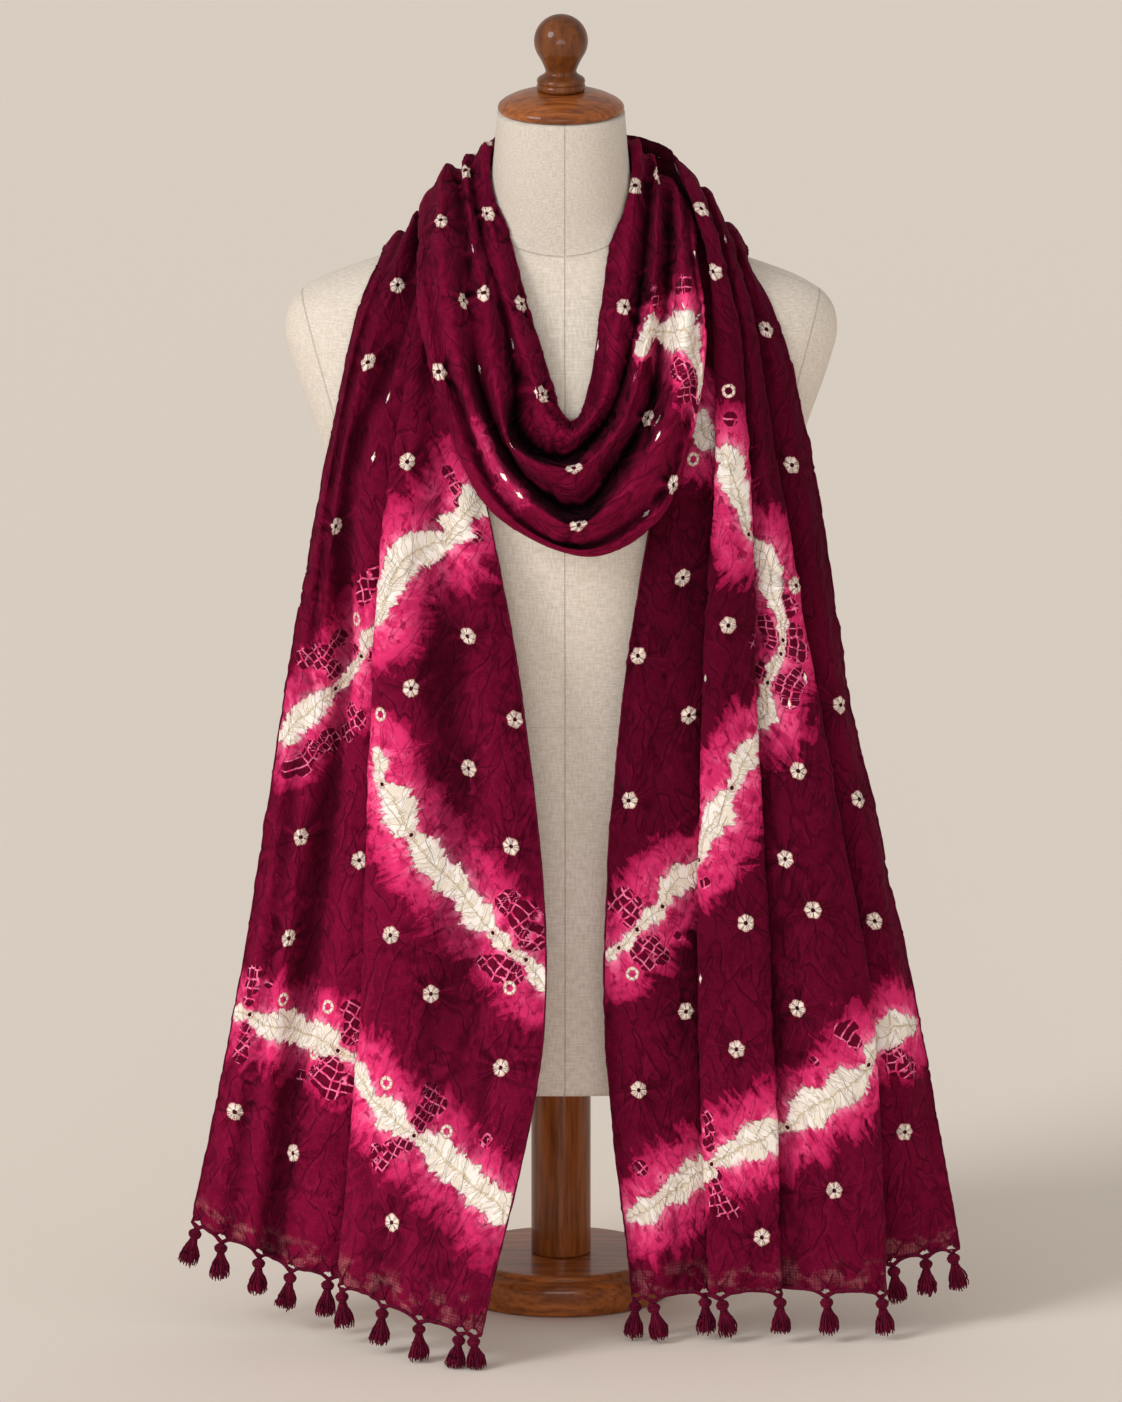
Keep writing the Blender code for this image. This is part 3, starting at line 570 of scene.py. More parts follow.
# Zigzag bands: stretch, half width of the halo at the line's start, a little on and at its end (when that
# differs), and the line's points. Each is a pixel across and down, with the half width of the cream core
# there. The core is narrow at its ties.
BANDS = (
    ("tail_left", (48, 40), (
        (490, 500, 9), (478, 505, 12), (465, 517, 5), (453, 531, 12), (446, 541, 5), (430, 549, 11),
        (408, 562, 12), (392, 578, 9), (382, 597, 7), (374, 622, 3), (368, 640, 5), (358, 654, 1.5),
        (349, 671, 4), (338, 691, 2), (325, 702, 7), (308, 712, 9), (293, 725, 8), (284, 738, 7))),
    ("tail_left", (34, 36), (
        (375, 752, 4), (377, 768, 5), (380, 785, 2), (387, 796, 9), (398, 812, 12), (408, 828, 9),
        (414, 837, 2.5), (426, 856, 11), (437, 868, 8), (447, 878, 11), (460, 896, 7), (474, 915, 12),
        (486, 928, 7), (491, 934, 2), (498, 942, 6), (508, 952, 1.5), (518, 958, 4), (524, 962, 1.5),
        (533, 973, 6), (542, 986, 5))),
    ("tail_left", (36, 36), (
        (236, 1009, 6), (247, 1016, 1.5), (262, 1024, 8), (286, 1030, 11), (303, 1034, 8), (316, 1038, 11),
        (329, 1046, 9), (337, 1053, 2), (346, 1058, 3), (357, 1078, 7), (370, 1098, 3), (386, 1115, 11),
        (402, 1130, 6), (411, 1136, 1.5), (427, 1147, 8), (445, 1165, 12), (459, 1177, 8), (475, 1191, 11),
        (488, 1200, 8), (498, 1208, 10), (507, 1217, 5))),
    ("cowl_front", (16, 48, 24), (
        (640, 340, 9), (648, 334, 12), (656, 331, 9), (661, 331, 3.5), (668, 331, 12), (681, 329, 15),
        (692, 336, 11), (698, 356, 4), (702, 376, 3), (704, 398, 2.5))),
    ("cowl_front", (7, 14), ((480, 424, 0), (486, 440, 0), (500, 468, 0), (520, 497, 0))),
    ("tail_right", (34, 36), (
        (704, 418, 5), (708, 437, 7), (716, 452, 4), (723, 453, 9), (731, 467, 12), (743, 495, 7),
        (748, 518, 5), (752, 537, 1.5), (762, 558, 8), (768, 582, 8), (770, 594, 7), (776, 612, 3),
        (782, 628, 3.5), (781, 643, 1.2), (778, 655, 2), (772, 668, 4), (764, 684, 1.5), (764, 700, 6),
        (764, 715, 7), (758, 742, 3), (747, 762, 10), (733, 790, 2), (718, 813, 11), (703, 836, 5),
        (699, 848, 5), (697, 862, 2), (680, 882, 10), (664, 908, 2.5), (652, 917, 7), (638, 930, 1.5),
        (626, 942, 5), (617, 949, 1.5), (608, 955, 4))),
    ("tail_right", (34, 34), (
        (628, 1220, 3), (645, 1211, 9), (664, 1203, 4), (676, 1194, 10), (688, 1186, 7), (699, 1177, 11),
        (706, 1170, 7), (711, 1166, 1.5), (726, 1157, 8), (741, 1150, 7), (762, 1142, 13), (777, 1133, 8),
        (785, 1128, 2), (806, 1112, 14), (828, 1102, 8), (850, 1088, 12), (863, 1077, 6), (870, 1067, 1.5),
        (877, 1053, 6), (884, 1040, 8), (897, 1029, 11), (915, 1026, 5))),
)
NARROW = 2.5  # a core no wider than this each way has a tie at its middle
BAND_STATIONS = 320
BAND_WINDOW = 50  # rows looked at beyond a band's line
BAND_CHUNK = 40  # rows worked out at a time
TANGENT_STEPS = 9
FULL_HALO_AT = 45  # how far along a band's line its halo reaches its middle width
NO_BAND = (400.0, 30.0, 36.0)  # distance, distance to a side, and half width of the halo
SIDE_LIMIT = 30
END_OVERHANG = 6  # how far past its ends a band's line is followed
BAND_APART = 1000  # keeps the noise of one band from that of the next
NET_WINDOW = 60  # rows looked at round a patch
NET_EDGE = (0.6, 1.5)  # where a patch fades out, as shares of its radius
# Patches where the ties left dark cells with pink lines between them: pixel and radius.
NETS = {
    "tail_left": (
        (372, 574, 6), (365, 585, 10), (360, 598, 8), (341, 640, 8), (302, 660, 9), (315, 655, 11),
        (326, 660, 11), (336, 672, 8), (352, 650, 5), (365, 657, 6), (348, 709, 6), (355, 722, 8),
        (345, 732, 9), (330, 742, 11), (315, 752, 10), (300, 762, 10), (288, 771, 8), (446, 474, 6),
        (453, 489, 6), (460, 504, 6), (480, 538, 5), (508, 905, 11), (522, 918, 15), (534, 936, 14),
        (497, 970, 12), (508, 975, 11), (482, 964, 7), (252, 975, 7), (250, 988, 7), (246, 1002, 5),
        (243, 1031, 5), (240, 1044, 6), (237, 1056, 7), (266, 984, 5), (351, 1012, 9), (353, 1028, 8),
        (349, 1041, 7), (322, 1056, 7), (331, 1068, 9), (316, 1076, 10), (331, 1086, 12), (346, 1086, 9),
        (300, 1079, 6), (379, 1162, 8), (390, 1151, 8), (402, 1141, 7), (415, 1126, 7), (424, 1115, 9),
        (433, 1104, 10), (428, 1092, 6), (484, 1143, 6), (374, 1150, 5)),
    "cowl_front": (
        (653, 288, 8), (660, 300, 6), (684, 283, 9), (675, 286, 6), (640, 377, 9), (632, 386, 7),
        (674, 367, 9), (686, 371, 9), (694, 381, 9), (688, 393, 9), (697, 403, 9), (703, 420, 8)),
    "tail_right": (
        (790, 606, 10), (760, 624, 8), (768, 640, 9), (757, 642, 7), (797, 637, 9), (790, 650, 8),
        (803, 655, 9), (760, 672, 8), (780, 685, 9), (792, 688, 11), (801, 679, 9), (786, 699, 9),
        (733, 417, 6), (612, 905, 9), (622, 897, 8), (630, 906, 9), (629, 919, 8), (634, 942, 6),
        (641, 953, 9), (653, 948, 8), (649, 962, 9), (662, 957, 7), (679, 937, 4), (702, 884, 5),
        (638, 1170, 7), (706, 1118, 6), (706, 1132, 6), (707, 1147, 6), (712, 1178, 7), (715, 1191, 7),
        (717, 1206, 10), (728, 1213, 8), (842, 1033, 8), (852, 1030, 7), (856, 1043, 7), (896, 1042, 5),
        (896, 1056, 8), (895, 1069, 8), (908, 1061, 8), (911, 1072, 8), (813, 1062, 4)),
}


def hidden_dots(name):
    """A staggered pattern of dots on a stretch that the picture doesn't show."""
    first, last = ROW_OF[name]
    found = []
    start_along, start_across = HIDDEN_DOT_START
    runs = np.arange(RUN[first] + start_along, RUN[last], HIDDEN_DOT_STEP * HIDDEN_ROW_SHARE)
    for number, run in enumerate(runs):
        start = start_across + HIDDEN_DOT_STAGGER * (number % 2)
        for across in np.arange(start, CLOTH_WIDTH, HIDDEN_DOT_STEP):
            row = int(np.searchsorted(RUN, run + HIDDEN_DOT_SWAY * math.sin(across)))
            found.append((row, round(across / CLOTH_WIDTH * (COLUMNS - 1))))
    return found


def dot_places():
    """Row, column and kind of every dot: 0 is a dot with petals, 1 a small ring, 2 a sliver and 3 a tie."""
    places = []
    for piece in DOTS:
        places += [(*on_cloth(piece, *pixel), 0) for pixel in DOTS[piece]]
        places += [(*on_cloth(piece, *pixel), 1) for pixel in RINGS[piece]]
        places += [(*on_cloth(piece, *pixel), 2) for pixel in SLIVERS[piece]]
    for piece, _, line in BANDS:
        places += [(*on_cloth(piece, *point[:2]), 3) for point in line if 0 < point[2] <= NARROW]
    for piece in ("back_band_inner", "back_band_outer"):
        places += [(row, column, 0) for row, column in hidden_dots(piece)]
    return places


def dot_field():
    """For each corner of each face, the offset across and along to its dot's middle, and the dot's number."""
    rows, columns = SMOOTH_CLOTH.shape[:2]
    field = np.full((rows - 1, columns - 1, 4, 3), NO_DOT)
    nearest = np.full((rows - 1, columns - 1), float(DOT_REACH))
    relief = np.zeros((rows, columns))
    for number, (row, column, kind) in enumerate(dot_places()):
        r0, r1 = max(row - DOT_WINDOW, 0), min(row + DOT_WINDOW + 1, rows)
        c0, c1 = max(column - DOT_WINDOW, 0), min(column + DOT_WINDOW + 1, columns)
        window = (slice(r0, r1), slice(c0, c1))
        across = ARC_ACROSS[window] - ARC_ACROSS[r0:r1, column : column + 1]
        along = ARC_ALONG[window] - ARC_ALONG[row : row + 1, c0:c1]
        reach = np.hypot(across, along)
        inside = (slice(r0, r1 - 1), slice(c0, c1 - 1))
        closer = reach[:-1, :-1] < nearest[inside]
        nearest[inside][closer] = reach[:-1, :-1][closer]
        offsets = np.stack([across, along, np.full_like(across, number + KIND_STEP * kind)], axis=2)
        corners = np.stack([offsets[:-1, :-1], offsets[1:, :-1], offsets[1:, 1:], offsets[:-1, 1:]], axis=2)
        field[inside][closer] = corners[closer]
        if kind:
            continue
        angle = np.arctan2(along, across)
        turn = number * GOLDEN_ANGLE
        rays = np.sin(5 * angle + turn) + 0.7 * np.sin(8 * angle - 1.7 * turn)
        relief[window] += DOT_BUMP * np.exp(-((reach / DOT_BUMP_RADIUS) ** 2))
        fade = step_up(reach, *RAY_START) * np.exp(-reach / RAY_FADE)
        relief[window] += RAY_HEIGHT * rays * fade
    return field, relief


def dense_line(piece, points):
    """A line through pixels of a stretch as closely spaced rows and columns, with the widths there."""
    places = [on_cloth(piece, across, down) for across, down, _ in points]
    stations = np.linspace(0, len(points) - 1, BAND_STATIONS)
    line = smooth(np.array(places, dtype=float), stations)
    widths = np.interp(stations, range(len(points)), [width for _, _, width in points])
    rows = np.clip(line[:, 0], 0, len(RUN) - 1).round().astype(int)
    return rows, np.clip(line[:, 1], 0, COLUMNS - 1).round().astype(int), widths


def band_field():
    """For each point, its distance from the nearest band's line, the side it lies on, its place along the
    line, and the half widths of core and halo there."""
    shape = SMOOTH_CLOTH.shape[:2]
    distance, signed, halo = (np.full(shape, value) for value in NO_BAND)
    along_line, core = np.zeros(shape), np.zeros(shape)
    for number, (piece, halo_halves, points) in enumerate(BANDS):
        rows, columns, widths = dense_line(piece, points)
        across_steps = ARC_ACROSS[rows[:-1], columns[1:]] - ARC_ACROSS[rows[:-1], columns[:-1]]
        along_steps = ARC_ALONG[rows[1:], columns[:-1]] - ARC_ALONG[rows[:-1], columns[:-1]]
        run = np.concatenate([[0], np.cumsum(np.hypot(across_steps, along_steps) + TINY)])
        kernel = np.ones(TANGENT_STEPS) / TANGENT_STEPS
        tangent_across = np.convolve(across_steps, kernel, "same")
        tangent_along = np.convolve(along_steps, kernel, "same")
        size = np.hypot(tangent_across, tangent_along) + TINY
        tangent_across = np.append(tangent_across / size, (tangent_across / size)[-1])
        tangent_along = np.append(tangent_along / size, (tangent_along / size)[-1])
        first, last = ROW_OF[piece]
        low = max(first, rows.min() - BAND_WINDOW)
        high = min(last, rows.max() + BAND_WINDOW) + 1
        for start in range(low, high, BAND_CHUNK):
            window = slice(start, min(start + BAND_CHUNK, high))
            across = ARC_ACROSS[window][:, :, None] - ARC_ACROSS[window][:, columns][:, None, :]
            along = ARC_ALONG[window][:, :, None] - ARC_ALONG[rows].T[None, :, :]
            reach = across**2 + along**2
            nearest = reach.argmin(axis=2)[:, :, None]
            across = np.take_along_axis(across, nearest, 2)[..., 0]
            along = np.take_along_axis(along, nearest, 2)[..., 0]
            nearest = nearest[..., 0]
            side = along * tangent_across[nearest] - across * tangent_along[nearest]
            forth = across * tangent_across[nearest] + along * tangent_along[nearest]
            total = np.hypot(across, along)
            closer = total < distance[window]
            overhang = np.clip(forth, -END_OVERHANG, END_OVERHANG)
            halo_at = (0, min(FULL_HALO_AT, run[-1]), run[-1])
            found = (
                (distance, total),
                (signed, np.copysign(np.minimum(total, SIDE_LIMIT), side)),
                (along_line, run[nearest] + overhang + BAND_APART * number),
                (core, widths[nearest]),
                (halo, np.interp(run[nearest], halo_at, (*halo_halves, halo_halves[-1])[:3])),
            )
            for field, values in found:
                field[window] = np.where(closer, values, field[window])
    return distance, signed, along_line, core, halo


def net_field():
    """How strongly each point lies in a patch of dark cells, from 0 to 1."""
    shape = SMOOTH_CLOTH.shape[:2]
    net = np.zeros(shape)
    for piece, patches in NETS.items():
        for pixel_across, pixel_down, radius in patches:
            row, column = on_cloth(piece, pixel_across, pixel_down)
            r0, r1 = max(row - NET_WINDOW, 0), min(row + NET_WINDOW + 1, shape[0])
            across = ARC_ACROSS[r0:r1] - ARC_ACROSS[r0:r1, column : column + 1]
            along = ARC_ALONG[r0:r1] - ARC_ALONG[row]
            reach = np.hypot(across, along) / (radius * MM_PER_PIXEL)
            net[r0:r1] = np.maximum(net[r0:r1], 1 - step_up(reach, *NET_EDGE))
    return net


# ---- making objects ----


def link(name, mesh, material):
    """A piece of the object, on the body that everything rides on."""
    mesh.materials.append(material)
    made = bpy.data.objects.new(name, mesh)
    bpy.context.scene.collection.objects.link(made)
    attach(made, "root")
    return made


def mesh_of(name, points, faces):
    mesh = bpy.data.meshes.new(name)
    mesh.from_pydata((np.asarray(points) * MM).tolist(), [], faces)
    mesh.shade_smooth()
    return mesh


def grid_faces(rows, columns):
    index = np.arange(rows * columns).reshape(rows, columns)
    quads = [index[:-1, :-1], index[1:, :-1], index[1:, 1:], index[:-1, 1:]]
    return np.stack(quads, axis=-1).reshape(-1, 4)


def tube_faces(rings, sides):
    """Faces of a tube of rings of points, with both ends closed."""
    faces = []
    for i in range(rings - 1):
        for k in range(sides):
            low, high = i * sides + k, i * sides + (k + 1) % sides
            faces.append((low, high, high + sides, low + sides))
    faces.append(tuple(range(sides))[::-1])
    faces.append(tuple((rings - 1) * sides + k for k in range(sides)))
    return faces


def spindle_faces(rings, sides):
    """Faces of a round piece of rings of points, with one more point at each end of its axis."""
    faces = []
    for k in range(sides):
        following = (k + 1) % sides
        faces.append((0, 1 + k, 1 + following))
        for i in range(rings - 1):
            top, low = 1 + i * sides, 1 + (i + 1) * sides
            faces.append((top + k, low + k, low + following, top + following))
        low = 1 + (rings - 1) * sides
        faces.append((1 + rings * sides, low + following, low + k))
    return faces


def tube_points(line, radius, sides):
    """Rings of points round a line of points, and a closed tube's faces on them."""
    line = np.asarray(line, dtype=float)
    radius = np.broadcast_to(radius, len(line))
    tangent = np.gradient(line, axis=0)
    tangent /= np.linalg.norm(tangent, axis=1, keepdims=True) + TINY
    helper = np.where(abs(tangent[:, 2:3]) > 0.9, (1.0, 0.0, 0.0), (0.0, 0.0, 1.0))
    first = np.cross(tangent, helper)
    first /= np.linalg.norm(first, axis=1, keepdims=True) + TINY
    second = np.cross(tangent, first)
    angles = 2 * math.pi * np.arange(sides) / sides
    ring = first[:, None] * np.cos(angles)[:, None] + second[:, None] * np.sin(angles)[:, None]
    points = (line[:, None] + ring * radius[:, None, None]).reshape(-1, 3)
    return points, tube_faces(len(line), sides)


def join(parts):
    """One set of points and faces from several sets."""
    points, faces, total = [], [], 0
    for own_points, own_faces in parts:
        points.append(own_points)
        faces += [tuple(int(v) + total for v in face) for face in own_faces]
        total += len(own_points)
    return np.concatenate(points), faces


def link_parts(name, parts, material):
    return link(name, mesh_of(name, *join(parts)), material)


# ---- materials ----


class Value:
    """A node's output, or a number, that can be worked with as in a sum."""

    def __init__(self, graph, socket):
        self.graph = graph
        self.socket = socket

    def __add__(self, other):
        return self.graph.maths("ADD", self, other)

    def __sub__(self, other):
        return self.graph.maths("SUBTRACT", self, other)

    def __mul__(self, other):
        return self.graph.maths("MULTIPLY", self, other)

    def __truediv__(self, other):
        return self.graph.maths("DIVIDE", self, other)

    __radd__ = __add__
    __rmul__ = __mul__

    def __rsub__(self, other):
        return self.graph.maths("SUBTRACT", other, self)

    def abs(self):
        return self.graph.maths("ABSOLUTE", self)


class Graph:
    """The nodes of one material."""

    def __init__(self, name, **settings):
        self.material = bpy.data.materials.new(name)
        self.material.use_nodes = True
        self.tree = self.material.node_tree
        self.shader = self.tree.nodes["Principled BSDF"]
        for socket, value in settings.items():
            self.shader.inputs[socket.replace("_", " ")].default_value = value

    def put(self, socket, value):
        if isinstance(value, Value):
            self.tree.links.new(value.socket, socket)
        else:
            socket.default_value = value

    def node(self, kind, inputs, output=0, **settings):
        made = self.tree.nodes.new(kind)
        for key, value in settings.items():
            setattr(made, key, value)
        for key, value in inputs.items():
            self.put(made.inputs[key], value)
        return Value(self, made.outputs[output])

    def maths(self, operation, first, second=0.0):
        return self.node("ShaderNodeMath", {0: first, 1: second}, operation=operation)

    def attribute(self, name, output="Vector"):
        return self.node("ShaderNodeAttribute", {}, output, attribute_name=name)

    def split(self, vector):
        parts = self.tree.nodes.new("ShaderNodeSeparateXYZ")
        self.put(parts.inputs[0], vector)
        return [Value(self, parts.outputs[k]) for k in range(3)]

    def vector(self, x, y, z=0.0):
        return self.node("ShaderNodeCombineXYZ", {0: x, 1: y, 2: z})

    def noise(self, x, y, z=0.0, detail=2.0, roughness=0.5):
        inputs = {"Vector": self.vector(x, y, z), "Scale": 1.0, "Detail": detail, "Roughness": roughness}
        return self.node("ShaderNodeTexNoise", inputs)

    def rise(self, value, low, high, bottom=0.0, top=1.0):
        inputs = {"Value": value, "From Min": low, "From Max": high, "To Min": bottom, "To Max": top}
        return self.node("ShaderNodeMapRange", inputs, interpolation_type="SMOOTHSTEP")

    def line(self, value, low, high):
        """1 within low of nought, falling to 0 at high."""
        return 1 - self.rise(value.abs(), low, high)

    def most(self, first, *others):
        for other in others:
            first = self.maths("MAXIMUM", first, other)
        return first

    def mix(self, share, first, second):
        made = self.tree.nodes.new("ShaderNodeMix")
        made.data_type = "RGBA"
        self.put(made.inputs[0], share)
        self.put(made.inputs[6], first)
        self.put(made.inputs[7], second)
        return Value(self, made.outputs[2])

    def colour(self, value):
        self.put(self.shader.inputs["Base Color"], value)

    def relief(self, height, distance):
        """Bumps the surface by height times distance, in metres."""
        bump = self.node("ShaderNodeBump", {"Height": height, "Distance": distance, "Strength": 1.0})
        self.put(self.shader.inputs["Normal"], bump)


GROUND = (0.124, 0.0025, 0.0205, 1)
GROUND_DEEP = (0.074, 0.0012, 0.0115, 1)
GROUND_LIGHT = (0.185, 0.0060, 0.036, 1)
MAGENTA = (0.52, 0.023, 0.112, 1)
MAGENTA_DEEP = (0.25, 0.0050, 0.042, 1)
MAGENTA_BRIGHT = (0.74, 0.095, 0.225, 1)
PINK = (0.80, 0.19, 0.33, 1)
CREAM = (0.93, 0.86, 0.785, 1)
CREAM_SHADE = (0.83, 0.73, 0.61, 1)
DOT_CREAM = (0.95, 0.83, 0.72, 1)
DOT_RIM = (0.66, 0.30, 0.23, 1)
DOT_TICK = (0.26, 0.022, 0.026, 1)
DOT_MIDDLE = (0.060, 0.0040, 0.0070, 1)
STITCH = (0.66, 0.50, 0.27, 1)
SHEER = (0.25, 0.085, 0.085, 1)
# How much shade is painted into a valley, and light onto a ridge: share of the run and strength.
FOLD_SHADES = ((0.33, 0.55), (0.42, 1.0), (0.58, 1.0), (0.68, 0.55))

DOT_PETALS = 6
DOT_RADIUS = 5.8
DOT_HOLE = 1.35


def ground_dye(g, spot, fleck, crinkle, yarns):
    """The maroon ground, streaked by yarns, with painted light on the crinkles' high places, painted shade
    along its wrinkles and a painted light line beside each. Also where the wrinkles lie.
    """
    across, along, bend = spot
    patch = g.noise(across / 45, along / 60, detail=3)
    ground = g.mix(g.rise(patch * 0.6 + fleck * 0.4, 0.30, 0.56), GROUND_DEEP, GROUND)
    # Painted light on the crinkles' high places.
    ground = g.mix(g.rise(crinkle, 0.56, 0.80) * 0.25, ground, GROUND_LIGHT)
    ground = g.mix(g.rise(yarns, 1.02, 1.30) * 0.45, ground, GROUND_LIGHT)
    ground = g.mix(g.rise(yarns, 0.98, 0.72) * 0.35, ground, GROUND_DEEP)
    slanted = across - along * 0.45 + bend * 0.4
    curl = g.noise(slanted / 17, (along + across * 0.3) / 46, 43.0, detail=2, roughness=0.45)
    slanted = across + along * 0.3 + bend * 0.4
    long_curl = g.noise(slanted / 15, along / 62, 51.0, detail=2, roughness=0.45)
    curled, smoothed = g.rise(patch, 0.46, 0.54), g.rise(patch, 0.56, 0.48)
    wrinkle, painted_crease_light = (
        g.most(g.line(curl - level, low, high) * curled, g.line(long_curl - level, low, high) * smoothed)
        for level, low, high in ((0.5, 0.003, 0.024), (0.54, 0.004, 0.030))
    )
    # Painted shade along the wrinkles, and a painted light line beside each.
    ground = g.mix(wrinkle * 0.62, ground, GROUND_DEEP)
    return g.mix(painted_crease_light * 0.3, ground, GROUND_LIGHT), wrinkle


def halo_dye(g, ground, spot, band, halo_width):
    """The ground with the bands' halos on it: leaf-shaped teeth all along, and deeper dye towards them. Also
    where the halos lie, and how far out in them each point is."""
    across, along, bend = spot
    distance, forth, side, outside, _, has_core = band
    flames = g.noise((forth + distance * 0.25) / 7.0, side / 22, 5.0, detail=4, roughness=0.6) - 0.5
    leaves = g.noise((across + bend) / 8, (along + bend) / 12, 9.0, detail=5, roughness=0.62)
    drift = g.noise(across / 26, along / 34, 19.0, detail=2) - 0.5
    level = (distance + flames * 56 + (leaves - 0.5) * 34 + drift * 18) / halo_width
    halo = (1 - g.rise(level, 0.96, 1.07)) * (has_core * 0.55 + 0.45)
    strength = leaves * 0.55 + flames * 0.85 + 0.225
    pink = g.mix(g.rise(level, 1.0, 0.62), MAGENTA_DEEP, MAGENTA)
    pink = g.mix(g.rise(strength, 0.46, 0.30) * 0.75, pink, MAGENTA_DEEP)
    pink = g.mix(g.rise(strength, 0.49, 0.63) * g.rise(level, 0.95, 0.5) * 0.8, pink, MAGENTA_BRIGHT)
    pink = g.mix(g.rise(outside, 8.0, 0.0) * g.rise(strength, 0.40, 0.58) * has_core * 0.75, pink, PINK)
    blotch = g.rise(g.noise((across - bend) / 7, along / 10, 13.0, detail=4), 0.58, 0.65)
    return g.mix(halo, ground, g.mix(blotch * 0.8, pink, MAGENTA_DEEP)), halo, level


def core_dye(g, colour, band):
    """The colour with the bands' undyed cores on it: a row of ragged leaves, with painted shade in the
    creases that run as veins to both sides of the stitch along its middle. Also where the cores, their veins
    and their stitches lie."""
    distance, forth, side, outside, core_half, has_core = band
    teeth = g.noise((forth + distance * 0.3) / 4.6, side / 14, 1.0, detail=3, roughness=0.55) - 0.5
    wave = g.noise(forth / 12, side / 30, 27.0, detail=2) - 0.5
    core_edge = outside - 0.5 - teeth * (core_half * 1.5 + 2.6) - wave * core_half * 0.8
    core = (1 - g.rise(core_edge, -0.7, 0.9)) * has_core
    vein = g.noise((forth + distance * 0.45) / 6.5, side / 22, 8.0, detail=2, roughness=0.5)
    crease = g.line(vein - 0.5, 0.004, 0.028)
    cream = g.mix(g.rise(vein, 0.36, 0.56), CREAM_SHADE, CREAM)
    # Painted shade: a darker gold line in each crease.
    cream = g.mix(crease * 0.45, cream, STITCH)
    fringe = g.rise(core_edge, -3.6, 0.3)
    cream = g.mix(fringe * g.rise(vein, 0.40, 0.60) * 0.6, cream, PINK)
    wander = (g.noise(forth / 18, 3.0, 2.0) - 0.5) * 5
    stitch = g.line(side + wander, 0.3, 0.8) * core
    return g.mix(stitch * 0.55, g.mix(core, colour, cream), STITCH), core, crease * core, stitch


def cell_dye(g, colour, band, bend, fleck, where):
    """The colour with rows of dark cells across the bands, and pink lines between them. They lie in the nets'
    patches, off the cores and not far outside the halos."""
    distance, forth, *_ = band
    net, core, level = where
    place = g.vector((forth + bend * 0.3) / 6.2, (distance - bend * 0.3) / 7.4, 0.0)
    settings = {"Vector": place, "Scale": 1.0, "Randomness": 0.28}
    cells = g.node("ShaderNodeTexVoronoi", settings, feature="DISTANCE_TO_EDGE", voronoi_dimensions="2D")
    chance = g.split(g.node("ShaderNodeTexVoronoi", settings, "Color", voronoi_dimensions="2D"))[0]
    netted = g.rise(net + (chance - 0.5) * 0.32, 0.24, 0.30) * (1 - core) * g.rise(level, 1.8, 1.5)
    line = 1 - g.rise(cells + (fleck - 0.5) * 0.12, 0.05, 0.12)
    cell_colour = g.mix(line, GROUND_DEEP, g.mix(g.rise(fleck, 0.40, 0.6), MAGENTA, PINK))
    return g.mix(netted * 0.95, colour, cell_colour)


def dot_dye(g, colour):
    """The colour with the tied dots on it, and painted shade along the pucker creases that run out from them.
    Also where their rings lie, the relief of ring and middle, and where the rays round them lie."""
    dot_across, dot_along, dot_number = g.split(g.attribute("dots"))
    radius = g.maths("SQRT", dot_across * dot_across + dot_along * dot_along * 0.84)
    angle = g.maths("ARCTAN2", dot_along, dot_across)
    fraction = g.maths("FRACT", dot_number)
    kind = g.rise(fraction, 0.1, 0.2)
    tie_kind = g.rise(fraction, 0.7, 0.8)
    sliver_kind = g.rise(fraction, 0.4, 0.5) * (1 - tie_kind)
    petals = g.maths("COSINE", angle * float(DOT_PETALS) + g.maths("FLOOR", dot_number) * 1.7)
    ragged = g.noise(dot_across / 1.8, dot_along / 1.8, dot_number, detail=2) - 0.5
    rim = DOT_RADIUS + petals * (1 - kind) * 0.35 + ragged * 1.8 - kind * 1.1 - tie_kind * 1.7
    hole = DOT_HOLE + ragged * 1.4 + kind * 1.1 - tie_kind * 1.1
    ring = (1 - g.rise(radius - rim, -0.35, 0.4)) * g.rise(radius - hole, -0.3, 0.4)
    dot = g.mix(g.rise(radius - rim + ragged * 1.5, -1.5, -0.2) * 0.6, DOT_CREAM, DOT_RIM)
    ticks = g.rise(petals, -0.70, -0.92) * g.rise(radius, 1.6, 2.2) * g.rise(radius - rim, -0.2, -1.0)
    dot = g.mix(ticks * 0.75, dot, DOT_TICK)
    centre = 1 - g.rise(radius - hole, -0.2, 0.5)
    ray_x, ray_y = g.maths("COSINE", angle), g.maths("SINE", angle)
    ray = g.noise(ray_x * 1.7, ray_y * 1.7, dot_number * 3.7, detail=1.5)
    rays = g.line(ray - 0.5, 0.004, 0.06) * (1 - g.rise(radius, 8.0, 29.0)) * (1 - kind)
    sliver = dot_across.abs() * 2.4 + dot_along.abs() * 0.75 + ragged * 6
    sliver = (1 - g.rise(sliver, 2.0, 3.6)) * sliver_kind
    shown_ring = ring * (1 - sliver_kind)
    # Painted shade along the pucker creases round the dot.
    colour = g.mix(rays * 0.4, colour, GROUND_DEEP)
    colour = g.mix(shown_ring, colour, dot)
    colour = g.mix(centre * (1 - kind + tie_kind), colour, DOT_MIDDLE)
    return g.mix(sliver, colour, DOT_CREAM), shown_ring, ring - centre, rays


def sheer_dye(g, colour, spot, fleck, hem):
    """The colour with a thinner weave just above the hem, where the ground shows through."""
    across, along, _ = spot
    sheer = g.rise(g.noise(across / 16, along / 13, 21.0, detail=3), 0.47, 0.60) * hem
    weave = g.maths("SINE", across * 2.7) * 0.35 + g.maths("SINE", along * 2.7) * 0.35 + (fleck - 0.5) * 4
    return g.mix(sheer * g.rise(weave, -0.8, 1.0, 0.12, 0.66), colour, SHEER)


